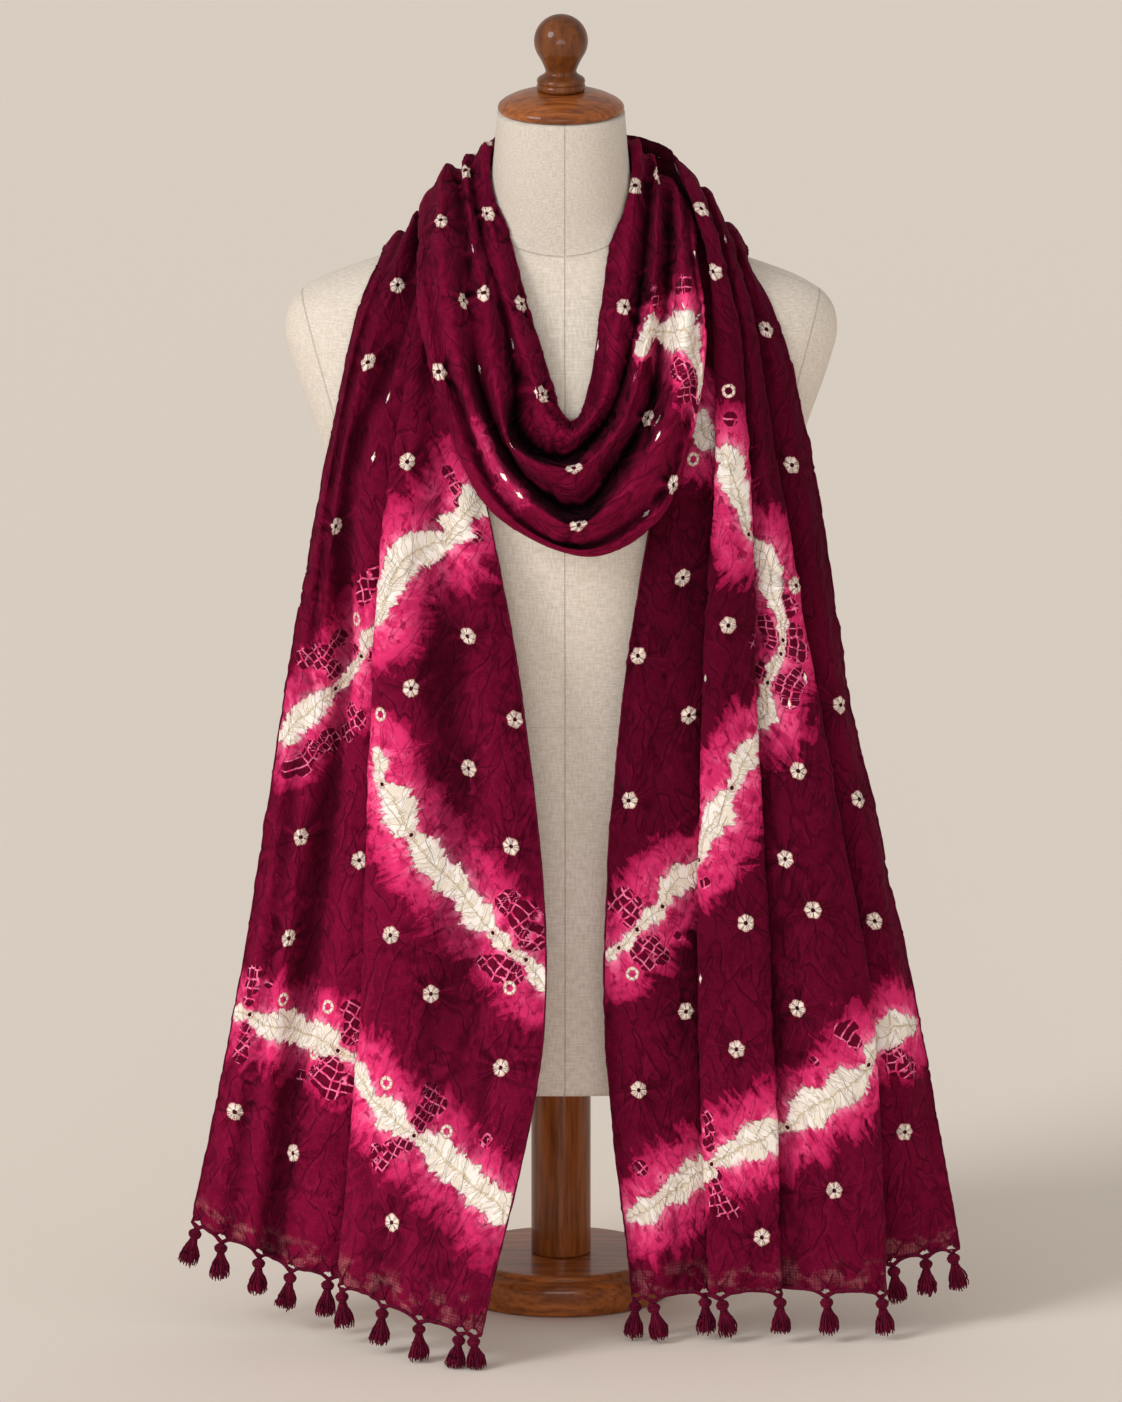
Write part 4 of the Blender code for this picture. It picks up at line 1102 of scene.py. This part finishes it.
def paint_fold_shade(g, colour, crinkle, bare, halo):
    """The colour with painted shade in valleys and painted light on ridges and crinkles, and with the painted
    shade and light along the run; least of all where there is little dye.
    """
    cavity, painted_shading, fold_strength = g.split(g.attribute("folds"))
    depth = g.rise(cavity + (crinkle - 0.5) * 0.2, 0.05, 0.95, 1.0, -1.0)
    undyed = g.most(bare * 0.85, halo * 0.6)
    shading = (depth * (1 - bare * 0.85) * fold_strength + 1) * (painted_shading + (1 - painted_shading) * undyed)
    return g.node("ShaderNodeHueSaturation", {"Value": shading, "Color": colour})


def cloth_material():
    """Maroon cotton with its dots, bands and nets, all from the cloth's own attributes in millimetres."""
    g = Graph(
        "tie_dyed_cotton",
        Roughness=0.9,
        Sheen_Weight=0.05,
        Sheen_Roughness=0.45,
        Specular_IOR_Level=0.07,
        Specular_Tint=(1.0, 0.4, 0.55, 1),
        Sheen_Tint=(1.0, 0.2, 0.4, 1),
    )
    across, along, hem = g.split(g.attribute("cloth"))
    distance, forth, net = g.split(g.attribute("band"))
    core_half, halo_width, side = g.split(g.attribute("band_kind"))
    bend = (g.noise(across / 9, along / 9, 31.0, detail=2) - 0.5) * 9
    fleck = g.noise(across / 4, along / 6, 3.0, detail=3)
    crinkle = g.noise((across + bend) / 9, (along - bend) / 11, 7.0, detail=5, roughness=0.62)
    yarns = g.noise(across / 0.9, along / 6, 2.0) + g.noise(across / 6, along / 0.9, 4.0)
    spot = (across, along, bend)
    has_core = g.rise(core_half, 0.2, 1.0)
    band = (distance, forth, side, distance - core_half * 1.1, core_half, has_core)

    colour, wrinkle = ground_dye(g, spot, fleck, crinkle, yarns)
    colour, halo, level = halo_dye(g, colour, spot, band, halo_width)
    colour, core, veins, stitch = core_dye(g, colour, band)
    colour = cell_dye(g, colour, band, bend, fleck, (net, core, level))
    colour, ring, dot_relief, rays = dot_dye(g, colour)
    colour = sheer_dye(g, colour, spot, fleck, hem)
    g.colour(paint_fold_shade(g, colour, crinkle, g.most(core, ring), halo))

    folds = g.noise((across + bend) / 15, (along + bend) / 20, 17.0, detail=5, roughness=0.6)
    height = yarns * 0.06 + (crinkle * 1.5 + folds * 2.0) * (1 - core * 0.55)
    height = height - rays * 1.5 + dot_relief * 0.4 - veins * 0.4 - stitch * 0.5 - wrinkle * 1.0
    g.relief(height, MM)
    return g.material


THREAD = (0.150, 0.0050, 0.028, 1)
THREAD_DEEP = (0.055, 0.0018, 0.010, 1)


def thread_material():
    g = Graph(
        "maroon_thread",
        Roughness=0.85,
        Sheen_Weight=0.08,
        Sheen_Roughness=0.5,
        Specular_IOR_Level=0.12,
        Specular_Tint=(1.0, 0.45, 0.6, 1),
        Sheen_Tint=(1.0, 0.3, 0.5, 1),
    )
    x, y, z = g.split(g.node("ShaderNodeTexCoord", {}, "Object"))
    twist = g.noise(x * 900, y * 900, z * 420, detail=2)
    shade = g.noise(x * 160, y * 160, z * 60, detail=2)
    colour = g.mix(g.rise(twist * 0.6 + shade * 0.4, 0.35, 0.65), THREAD_DEEP, THREAD)
    g.colour(colour)
    g.relief(twist, 0.4 * MM)
    return g.material


# ---- the cloth's pieces ----

HEM_SHEER = 24  # height of the thin band above a hem
HEM_SHEER_EDGE = (0.7, 1.2)  # where it fades out, as shares of its height


def displaced_cloth(dot_relief):
    across = ACROSS
    along = RUN[:, None] + RELIEF_SLANT * across
    height = np.zeros(SMOOTH_CLOTH.shape[:2])
    for wave_across, wave_along, size, seed in SWELLS:
        height += size * lattice_noise(across / wave_across, along / wave_along, seed)
    for wave_across, wave_along, size, seed, width in CREASES:
        bend = CREASE_BEND * lattice_noise(across / BEND_LENGTH, along / BEND_LENGTH, seed + 50)
        wave = lattice_noise(across / wave_across + bend, along / wave_along - bend, seed)
        height += size * np.exp(-((wave / width) ** 2))
    height = np.clip(height + dot_relief, -MOST_RELIEF, MOST_RELIEF)
    behind = np.zeros(len(RUN))
    for name in ("back_band_inner", "back_band_outer"):
        first, last = ROW_OF[name]
        start = step_up(RUN, RUN[first] - BACK_FADE, RUN[first] + BACK_FADE)
        end = step_up(RUN, RUN[last] - BACK_FADE, RUN[last] + BACK_FADE)
        behind = np.maximum(behind, start * (1 - end))
    height *= (1 - (1 - BACK_RELIEF) * behind)[:, None]
    moved = SMOOTH_CLOTH + height[..., None] * grid_normals(SMOOTH_CLOTH)
    return in_world(clear_of_form(in_world(moved)))


def blurred(values, size):
    """A grid of values, averaged over size rows and columns each way."""
    for axis in (0, 1):
        padding = [(size + 1, size) if k == axis else (0, 0) for k in range(values.ndim)]
        total = np.cumsum(np.pad(values, padding, mode="edge"), axis=axis)
        width = 2 * size + 1
        if axis == 0:
            values = (total[width:] - total[:-width]) / width
        else:
            values = (total[:, width:] - total[:, :-width]) / width
    return values


def cavities(cloth):
    """How deep each point lies below the cloth round it: 0 on a ridge, 0.5 on the flat and 1 in a valley."""
    normals = grid_normals(SMOOTH_CLOTH)
    depth = 0
    for size, scale in CAVITY_SIZES:
        depth = depth + ((blurred(cloth, size) - cloth) * normals).sum(axis=2) / scale
    return 0.5 + 0.5 * np.tanh(CAVITY_CONTRAST * depth)


def set_attribute(mesh, name, domain, values):
    made = mesh.attributes.new(name, "FLOAT_VECTOR", domain)
    made.data.foreach_set("vector", np.ascontiguousarray(values, dtype=np.float32).ravel())


def make_cloth():
    """The cloth's five pieces, with its grid of points before and after the hems are shaped."""
    dots, dot_relief = dot_field()
    distance, signed, along_line, core, halo = band_field()
    net = net_field()
    cloth = displaced_cloth(dot_relief)
    straight = cloth[[0, -1]].copy()
    shape_hem(cloth, LEFT_TASSELS, last=False)
    shape_hem(cloth, RIGHT_TASSELS, last=True)
    across = ACROSS
    along = RUN[:, None] + 0 * across
    to_hem = np.minimum(along, RUN[-1] - along)
    hem = 1 - step_up(to_hem, *(HEM_SHEER * share for share in HEM_SHEER_EDGE))
    cavity = cavities(cloth)
    shares = RUN / RUN[-1]
    # Painted shade and light along the run, and how strongly shade is painted into the valleys.
    painted_shading, strength = (
        np.interp(shares, *np.transpose(table))[:, None] + 0 * across for table in (PAINTED_SHADE_ALONG_RUN, FOLD_SHADES)
    )
    attributes = {
        "cloth": (across, along, hem),
        "band": (distance, along_line, net),
        "band_kind": (core, halo, signed),
        "folds": (cavity, painted_shading, strength),
    }
    material = cloth_material()
    pieces = {}
    for name, *_ in STRETCHES:
        first, last = ROW_OF[name]
        rows = slice(first, last + 1)
        points = cloth[rows]
        mesh = mesh_of(name, points.reshape(-1, 3), grid_faces(*points.shape[:2]).tolist())
        for attribute, layers in attributes.items():
            set_attribute(mesh, attribute, "POINT", np.stack([layer[rows] for layer in layers], axis=2))
        set_attribute(mesh, "dots", "CORNER", dots[first:last])
        pieces[name] = link(name + "_cloth", mesh, material)
        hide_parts(name)
    return straight, cloth, pieces


def edge_cord(line, radius, seed):
    """A rolled edge: a thin cord with small lumps along a line of points."""
    line = np.asarray(line)
    run = run_along(line)
    lumps = lattice_noise(run / LUMP_LENGTH, 0 * run, seed)
    return tube_points(line, radius * (1 + 0.3 * lumps), CORD_SIDES)


# ---- tassels ----

# A knot and a skirt: places down the tassel as shares of its length, and sizes.
YARNS = 36
YARN_RADIUS = 0.72
YARN_STEPS = 9
YARN_SIDES = 5
YARN_WOBBLE = 0.45
YARN_ENDS = (-2.2, 0.5)  # how much longer than the tassel a yarn may be, from least to most
STRAY_YARNS = range(4, YARNS, 7)  # these lean out at their ends
STRAY_REACH = (0.8, 2.2)
STRAY_SHARES = np.array([[0.3], [0.7], [1.0]])
TASSEL_SWING = 1.5  # how far forward or back a tip may hang
CORD_SIDES = 6
KNOT_DOWN = 0.20
KNOT_RADIUS = 4.3
KNOT_SQUASH = 0.86
KNOT_RIDGE = 0.07  # height of the ridges round a knot, as a share of its radius
TURN_TILTS = (-0.5, 0.15, 0.6)  # the turns of thread round a knot
TURN_SPACING = 0.03
TURN_STEPS = 17
TURN_RADIUS = 4.1
TURN_THICKNESS = 0.85
SKIRT_DOWN = 0.30
SKIRT_RADIUS = 7.2
TASSEL_FLOOR_GAP = 0.6
NOTCH_WIDTH = 2.9
NOTCH_HEIGHT = 3.6
ARCH_HEIGHT = 2.6
HEM_REACH = 12  # how far up the cloth the hem's shape is felt
HEM_ROWS = 16
CORD_STEP = 1.1
CORD_TWIST = 0.9
HEM_CORDS = (
    # forward, up, dip at a knot, width of the dip, sway, radius, seed
    (0.5, 0.2, 2.6, 4.2, 0, 1.25, 31),
    (1.1, 1.0, 1.4, 5.5, 0.45, 0.85, 41),
)
TASSEL_DROP = 0.4  # from the hem to where a tassel's length starts
SELVEDGE_RADIUS = 0.75
ARCH_SPAN = 30  # arches narrower than this are lower
ARCH_FULLNESS = 0.8  # below 1 an arch is rounder than a sine
TIED_ROWS = 12  # the cloth's rows nearest to a hem, which its ties lie on
TIE_ROWS = 7.5  # how many of them a tie crosses
TIE_START = -0.7  # columns from a knot's middle, at the hem: each cord starts past it and crosses the other
TIE_SPREAD = 3.4  # how many columns further out it ends
TIE_SWAY = 0.3
TIE_LIFT = 0.9  # off the cloth at the hem
TIE_SINK = 0.7  # how much nearer to the cloth it ends
TIE_RADII = (1.05, 0.45)
TIE_STEPS = 10


def ball(middle, radius, squash, rows=10, sides=14):
    """A closed ball, slightly flattened."""
    points = [middle + np.array([0, 0, radius * squash])]
    for i in range(1, rows):
        turn = math.pi * i / rows
        for k in range(sides):
            angle = 2 * math.pi * k / sides
            ridge = 1 + KNOT_RIDGE * math.sin(3 * angle + 5 * turn)
            points.append(middle + radius * ridge * np.array(
                [math.sin(turn) * math.cos(angle), math.sin(turn) * math.sin(angle), squash * math.cos(turn)]
            ))
    points.append(middle - np.array([0, 0, radius * squash]))
    return np.array(points), spindle_faces(rows - 1, sides)


def tassel(top, lean, length, seed):
    """A knot and its skirt of yarns, hung below top, with the tip lean millimetres to the right."""
    random = np.random.default_rng(seed)
    axis = np.array([lean, random.uniform(-TASSEL_SWING, TASSEL_SWING), -length])
    size = np.linalg.norm(axis)
    axis /= size
    side = np.cross(axis, (0.0, 1.0, 0.0))
    side /= np.linalg.norm(side)
    fore = np.cross(axis, side)
    parts = [ball(top + axis * KNOT_DOWN * size, KNOT_RADIUS, KNOT_SQUASH)]
    for tilt in TURN_TILTS:
        angles = np.linspace(0, 2 * math.pi, TURN_STEPS)
        out = fore * math.cos(tilt) + axis * math.sin(tilt)
        ring = np.cos(angles)[:, None] * side + np.sin(angles)[:, None] * out
        middle = top + axis * (KNOT_DOWN + TURN_SPACING * tilt) * size
        parts.append(tube_points(middle + TURN_RADIUS * ring, TURN_THICKNESS, CORD_SIDES))
    neck = top + axis * SKIRT_DOWN * size
    down = np.linspace(0, 1, YARN_STEPS)
    for number in range(YARNS):
        angle = GOLDEN_ANGLE * number
        reach = SKIRT_RADIUS * math.sqrt((number + 0.5) / YARNS)
        swell = 0.30 + 0.70 * step_up(down, 0.0, 0.72) - 0.08 * step_up(down, 0.85, 1.0)
        wobble = random.uniform(-YARN_WOBBLE, YARN_WOBBLE, (YARN_STEPS, 3)) * (0.3 + down[:, None])
        out = math.cos(angle) * side + math.sin(angle) * fore
        drop = ((1 - SKIRT_DOWN) * size + random.uniform(*YARN_ENDS)) * down
        line = neck + out * (reach * swell)[:, None] + axis * drop[:, None] + wobble
        if number in STRAY_YARNS:
            line[-len(STRAY_SHARES):] += out * random.uniform(*STRAY_REACH) * STRAY_SHARES
        radius = YARN_RADIUS * (1 - 0.5 * step_up(down, 0.8, 1.0)) * (1 + 0.15 * np.sin(9 * down + number))
        parts.append(tube_points(line, radius, YARN_SIDES))
    points, faces = join(parts)
    points[:, 2] = np.maximum(points[:, 2], TASSEL_FLOOR_GAP)
    return points, faces


def hem_heights(hem, tassels):
    """Along a hem: arc length, distance to the nearest tassel, and how far its arches rise."""
    arc = run_along(hem)
    shares = np.array([share for share, _ in tassels])
    at = np.sort(np.interp(shares * (COLUMNS - 1), np.arange(COLUMNS), arc))
    gap = abs(arc[:, None] - at[None, :]).min(axis=1)
    arch = np.zeros(len(arc))
    for low, high in zip(at, at[1:]):
        inside = (arc >= low) & (arc <= high)
        rise = ARCH_HEIGHT * min(1, (high - low) / ARCH_SPAN)
        arch[inside] = rise * np.sin(math.pi * (arc[inside] - low) / (high - low)) ** ARCH_FULLNESS
    return arc, at, gap, arch


def shape_hem(cloth, tassels, last):
    """Draws a hem up into an arch between tassels, and into a small notch over each."""
    rows = np.arange(HEM_ROWS)
    rows = len(cloth) - 1 - rows if last else rows
    _, _, gap, arch = hem_heights(cloth[rows[0]], tassels)
    lift = arch + NOTCH_HEIGHT * np.exp(-((gap / NOTCH_WIDTH) ** 4))
    for column in range(COLUMNS):
        line = cloth[rows, column]
        run = run_along(line)
        wanted = run + lift[column] * np.clip(1 - run / HEM_REACH, 0, 1)
        for k in range(3):
            cloth[rows, column, k] = np.interp(wanted, run, line[:, k])


def hang_tassels(side, tassels, hem, material):
    """The tassels of one hem, hung from its straight edge."""
    made = []
    for number, (share, lean) in enumerate(tassels, start=1):
        place = share * (COLUMNS - 1)
        low = int(place)
        high = min(low + 1, COLUMNS - 1)
        top = hem[low] + (place - low) * (hem[high] - hem[low])
        length = min(TASSEL_LENGTH, top[2] - TASSEL_FLOOR_GAP)
        points, faces = tassel(top - (0, 0, TASSEL_DROP), lean, length, number + 100 * (side == "right"))
        name = f"tassel_{side}_{number:02d}"
        piece = link(name + "_yarn", mesh_of(name, points, faces), material)
        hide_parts(name)
        made.append(piece)
    return made


def hem_cords(side, tassels, hem, material):
    """The rolled edge of one hem: cords that follow its arches and dip to each knot."""
    arc, at, _, arch = hem_heights(hem, tassels)
    fine = np.linspace(0, arc[-1], round(arc[-1] / CORD_STEP))
    line = np.stack([np.interp(fine, arc, hem[:, k]) for k in range(3)], axis=1)
    near = abs(fine[:, None] - at[None, :]).min(axis=1)
    rise = np.interp(fine, arc, arch)
    parts = []
    for forward, up, dip, dip_width, sway, radius, seed in HEM_CORDS:
        cord = line.copy()
        cord[:, 1] += -forward + sway * np.cos(fine * CORD_TWIST)
        cord[:, 2] += rise + up - dip * np.exp(-((near / dip_width) ** 2)) + sway * np.sin(fine * CORD_TWIST)
        parts.append(edge_cord(cord, radius, seed + len(side)))
    return link_parts(f"hem_cord_{side}", parts, material)


def tie_cords(side, tassels, cloth, rows, material):
    """The thin cords that cross on the cloth above each knot."""
    normals = grid_normals(SMOOTH_CLOTH)[rows]
    grid = cloth[rows]
    if grid[0, :, 2].mean() > grid[-1, :, 2].mean():
        grid, normals = grid[::-1], normals[::-1]
    parts = []
    for number, (share, _) in enumerate(tassels):
        column = share * (COLUMNS - 1)
        for way in (-1, 1):
            line = []
            for t in np.linspace(0, 1, TIE_STEPS):
                row = t * TIE_ROWS
                at = column + way * (TIE_SPREAD * t + TIE_START) + TIE_SWAY * math.sin(5 * t + number)
                at = np.clip(at, 0, COLUMNS - 1)
                i, k = min(int(row), len(grid) - 2), min(int(at), COLUMNS - 2)
                u, v = row - i, at - k
                point = (grid[i, k] * (1 - u) + grid[i + 1, k] * u) * (1 - v)
                point = point + (grid[i, k + 1] * (1 - u) + grid[i + 1, k + 1] * u) * v
                line.append(point + normals[i, k] * (TIE_LIFT - TIE_SINK * t))
            parts.append(tube_points(line, np.linspace(*TIE_RADII, TIE_STEPS), CORD_SIDES))
    return link_parts(f"tie_cords_{side}", parts, material)


def finish_hem(side, tassels, hem, cloth, rows, material):
    """All that hangs on one hem. rows are the cloth's rows where its ties lie."""
    return [
        *hang_tassels(side, tassels, hem, material),
        hem_cords(side, tassels, hem, material),
        tie_cords(side, tassels, cloth, rows, material),
    ]


def make_edges(cloth, material):
    """The rolled selvedges along both sides of every stretch."""
    made = {}
    for number, (name, *_) in enumerate(STRETCHES):
        first, last = ROW_OF[name]
        sides = (cloth[first : last + 1, column] for column in (0, COLUMNS - 1))
        parts = [edge_cord(side, SELVEDGE_RADIUS, 50 + number) for side in sides]
        made[name] = link_parts(name + "_edges", parts, material)
    return made


# ---- the dress form ----

FORM_FINE_SIDES = 160
FORM_FINE_RINGS = 240
LINEN = (0.80, 0.72, 0.635, 1)
LINEN_DARK = (0.63, 0.55, 0.46, 1)
LINEN_WARM = (0.70, 0.60, 0.48, 1)
LINEN_SLUB = (0.84, 0.77, 0.68, 1)
SEAM = (0.42, 0.34, 0.26, 1)
MIDDLE_SEAM = 2.9  # to the right
NECK_SEAM = 790  # up, at the middle
NECK_SEAM_CURVE = 5.5
WAIST_SEAM = 446
ARM_SEAM = 189  # from the middle, at this height
ARM_SEAM_UP = 755
ARM_SEAM_SLANT = 0.29
ARM_SEAM_FOOT = 650
SIDE_SEAM_TOP = 700


def linen_material():
    """Unbleached linen over padding, with its seams."""
    g = Graph("linen", Roughness=0.9, Sheen_Weight=0.15, Specular_IOR_Level=0.2)
    around, up, _ = g.split(g.attribute("weave"))
    x, y, z = g.split(g.node("ShaderNodeTexCoord", {}, "Object"))
    warp = g.noise(around / 1.1, up / 7, 1.0, detail=3)
    weft = g.noise(around / 7, up / 1.1, 2.0, detail=3)
    slub = g.noise(around / 12, up / 1.2, 3.0, detail=2)
    broad = g.noise(around / 90, up / 90, 4.0, detail=3)
    colour = g.mix(g.rise(warp * 0.5 + weft * 0.5, 0.36, 0.64), LINEN_DARK, LINEN)
    colour = g.mix(g.rise(broad, 0.35, 0.7) * 0.25, colour, LINEN_WARM)
    colour = g.mix(g.rise(slub, 0.62, 0.75) * 0.3, colour, LINEN_SLUB)
    seams = seam_lines(g, x, y, z)
    colour = g.mix(seams * 0.38, colour, SEAM)
    # Painted light: the form is painted lighter below the chest, most of all below 420 mm, where it lies in
    # shade between the tails; painted shade: the neck above its seam a little darker.
    painted_shading = g.rise(z, 420 * MM, 700 * MM, 1.22, 1.06) * g.rise(z, 785 * MM, 800 * MM, 1.0, 0.9)
    g.colour(g.node("ShaderNodeHueSaturation", {"Value": painted_shading, "Color": colour}))
    g.relief((warp + weft) * 0.2 + slub * 0.1 - seams * 0.6, MM)
    return g.material


def seam_lines(g, x, y, z):
    """1 on the form's seams: down the middle, round the neck's foot and the waist, and at the armholes."""
    thin, soft = 0.2 * MM, 0.7 * MM
    middle = g.line(x - MIDDLE_SEAM * MM, thin, 0.6 * MM) * 0.8
    neck = g.line(z - (x * x * NECK_SEAM_CURVE + NECK_SEAM * MM), thin, soft) * 0.75
    waist = g.line(z - WAIST_SEAM * MM, thin, soft) * 0.35
    arm_at = ARM_SEAM * MM - (ARM_SEAM_UP * MM - z) * ARM_SEAM_SLANT
    above = g.rise(z, (ARM_SEAM_FOOT - 10) * MM, ARM_SEAM_FOOT * MM)
    arm = g.line(x.abs() - arm_at, thin, soft) * above
    side = g.line(y, thin, soft) * (1 - g.rise(z, (SIDE_SEAM_TOP - 10) * MM, SIDE_SEAM_TOP * MM))
    return g.most(middle, neck, waist, side, arm)


# How much finer than a metre the grain is each way, and how light the wood is painted: the pole and the
# finial are darker copies of the same wood, as painted shade.
UPRIGHT_GRAIN = ((300, 300, 22), 0.8)
BALL_GRAIN = ((130, 130, 34), 0.56)
LEVEL_GRAIN = ((30, 300, 300), 1.0)
WOOD = (0.42, 0.120, 0.024, 1)
WOOD_DEEP = (0.155, 0.038, 0.0075, 1)
WOOD_PORE = (0.030, 0.009, 0.003, 1)


def wood_material(name, grain, painted_shading):
    """Varnished turned wood. grain is how each axis is stretched, and the third argument darkens the colour
    as painted shade.
    """
    light, deep = (tuple(painted_shading * part for part in colour[:3]) + (1,) for colour in (WOOD, WOOD_DEEP))
    g = Graph(name, Roughness=0.42, Coat_Weight=0.42, Coat_Roughness=0.09, Specular_IOR_Level=0.15)
    x, y, z = g.split(g.node("ShaderNodeTexCoord", {}, "Object"))
    fine = g.noise(x * grain[0], y * grain[1], z * grain[2], detail=5, roughness=0.6)
    broad = g.noise(x * grain[0] * 0.22, y * grain[1] * 0.22, z * grain[2] * 0.22, detail=3)
    pores = g.noise(x * grain[0] * 3, y * grain[1] * 3, z * grain[2] * 2, detail=2)
    colour = g.mix(g.rise(fine * 0.6 + broad * 0.4, 0.34, 0.66), deep, light)
    colour = g.mix(g.rise(pores, 0.62, 0.72) * 0.5, colour, WOOD_PORE)
    g.colour(colour)
    g.relief(fine * 0.3 + pores * 0.2, 0.25 * MM)
    return g.material


def make_body(linen):
    """The padded bust with its neck."""
    levels = smooth(FORM_SECTIONS, np.linspace(0, len(FORM_SECTIONS) - 1, FORM_FINE_RINGS))
    angles = 2 * math.pi * np.arange(FORM_FINE_SIDES) / FORM_FINE_SIDES
    cosine, sine = np.cos(angles), np.sin(angles)
    power = 2 / FORM_ROUNDNESS
    rounded_across = np.sign(cosine) * abs(cosine) ** power
    rounded_away = np.sign(sine) * abs(sine) ** power
    up, half_width, front, back = (levels[:, k, None] for k in range(4))
    depth = np.where(sine < 0, front, back)
    points = np.stack([half_width * rounded_across, depth * rounded_away, up + 0 * depth], axis=2)
    mesh = mesh_of("form_body", points.reshape(-1, 3), tube_faces(len(levels), len(angles)))
    around = WEAVE_RADIUS * angles + 0 * up
    set_attribute(mesh, "weave", "POINT", np.stack([around, up + 0 * around, 0 * around], axis=2))
    piece = link("form_body_linen", mesh, linen)
    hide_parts("form_body")


CORNER_CUT = 1.2  # how far from a corner its curve starts, at most
CORNER_SHARE = 0.45  # the same, as a share of the side


def round_profile(profile, steps=4):
    """A profile with its corners cut into short curves."""
    profile = np.array(profile, dtype=float)
    out = [profile[0]]
    for before, corner, after in zip(profile, profile[1:], profile[2:]):
        sides = before - corner, after - corner
        start, end = (
            corner + side * min(CORNER_SHARE, CORNER_CUT / (np.linalg.norm(side) + TINY)) for side in sides
        )
        for k in range(steps + 1):
            t = k / steps
            out.append((1 - t) ** 2 * start + 2 * t * (1 - t) * corner + t * t * end)
    out.append(profile[-1])
    return np.array(out)


def turned(name, profile, material, node, sides=96):
    """A turned piece from (radius, up), top to bottom, with one point at each end of the axis."""
    profile = round_profile(profile)
    angles = 2 * math.pi * np.arange(sides) / sides
    rings = [
        np.stack([radius * np.cos(angles), radius * np.sin(angles), 0 * angles + up], axis=1)
        for radius, up in profile[1:-1]
    ]
    points = np.concatenate([[(0, 0, profile[0][1])], *rings, [(0, 0, profile[-1][1])]])
    mesh = mesh_of(name, points, spindle_faces(len(rings), sides))
    piece = link(name, mesh, material)
    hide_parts(node)


def make_form():
    make_body(linen_material())
    upright = wood_material("turned_wood_upright", *UPRIGHT_GRAIN)
    top = wood_material("turned_wood_top", *BALL_GRAIN)
    level = wood_material("turned_wood_level", *LEVEL_GRAIN)
    turned("neck_cap_wood", CAP_PROFILE, level, "neck_cap")
    lowest = math.degrees(math.acos(FINIAL_STEM_PROFILE[0][0] / FINIAL_BALL_RADIUS))
    ball_profile = [(0, FINIAL_BALL_UP + FINIAL_BALL_RADIUS)]
    for turn in np.radians(np.linspace(90, -lowest, FINIAL_BALL_STEPS + 1))[1:]:
        up = FINIAL_BALL_UP + FINIAL_BALL_RADIUS * math.sin(turn)
        ball_profile.append((FINIAL_BALL_RADIUS * math.cos(turn), up))
    turned("finial_wood", (*ball_profile, *FINIAL_STEM_PROFILE[1:]), top, "finial")
    high, low = FORM_BOTTOM - SEAT_GAP, BASE_TOP + SEAT_GAP
    pole = ((0, high), (POLE_RADIUS, high), (POLE_RADIUS, low), (0, low))
    turned("pole_wood", pole, upright, "pole")
    turned("base_wood", BASE_PROFILE, level, "base")


# ---- the room ----


FLOOR_COLOUR = (0.885, 0.80, 0.715, 1)
FLOOR_REACH = 40  # metres
AIR_COLOUR = (1.0, 0.965, 0.93, 1)
AIR_STRENGTH = 0.52
SUNS = (
    # name, where it stands, width in degrees, strength
    ("key", (-1.7, -1.2, 1.7), 24, 1.4),
    ("front", (-0.05, -2.0, 0.3), 40, 1.5),
)
LIT_PLACE = (0, 0, 0.4)


def aim(made, target):
    """Turns a light towards a point."""
    x, y, z = np.array(made.location) - target
    made.rotation_euler = (math.atan2(math.hypot(x, y), z), 0, math.atan2(x, -y))


def make_stage():
    g = Graph("floor", Roughness=0.95, Specular_IOR_Level=0.05, Base_Color=FLOOR_COLOUR)
    mesh = bpy.data.meshes.new("floor")
    corners = [(x * FLOOR_REACH, y * FLOOR_REACH, 0) for x, y in ((-1, -1), (1, -1), (1, 1), (-1, 1))]
    mesh.from_pydata(corners, [], [(0, 1, 2, 3)])
    mesh.materials.append(g.material)
    floor = bpy.data.objects.new("floor", mesh)
    bpy.context.scene.collection.objects.link(floor)
    world = bpy.data.worlds.new("studio")
    world.use_nodes = True
    air = world.node_tree.nodes["Background"].inputs
    air[0].default_value = AIR_COLOUR
    air[1].default_value = AIR_STRENGTH
    bpy.context.scene.world = world
    bpy.context.scene.view_settings.view_transform = "Standard"
    for name, place, width, strength in SUNS:
        data = bpy.data.lights.new(name, "SUN")
        data.angle = math.radians(width)
        data.energy = strength
        lamp = bpy.data.objects.new(name, data)
        bpy.context.scene.collection.objects.link(lamp)
        lamp.location = place
        aim(lamp, LIT_PLACE)


# ---- everything ----

make_camera()
STRAIGHT_HEMS, CLOTH, PIECES = make_cloth()
YARN = thread_material()
EDGES = make_edges(CLOTH, YARN)
LEFT_HUNG = finish_hem("left", LEFT_TASSELS, STRAIGHT_HEMS[0], CLOTH, slice(0, TIED_ROWS), YARN)
RIGHT_HUNG = finish_hem("right", RIGHT_TASSELS, STRAIGHT_HEMS[1], CLOTH, slice(-TIED_ROWS, None), YARN)
make_form()
make_stage()
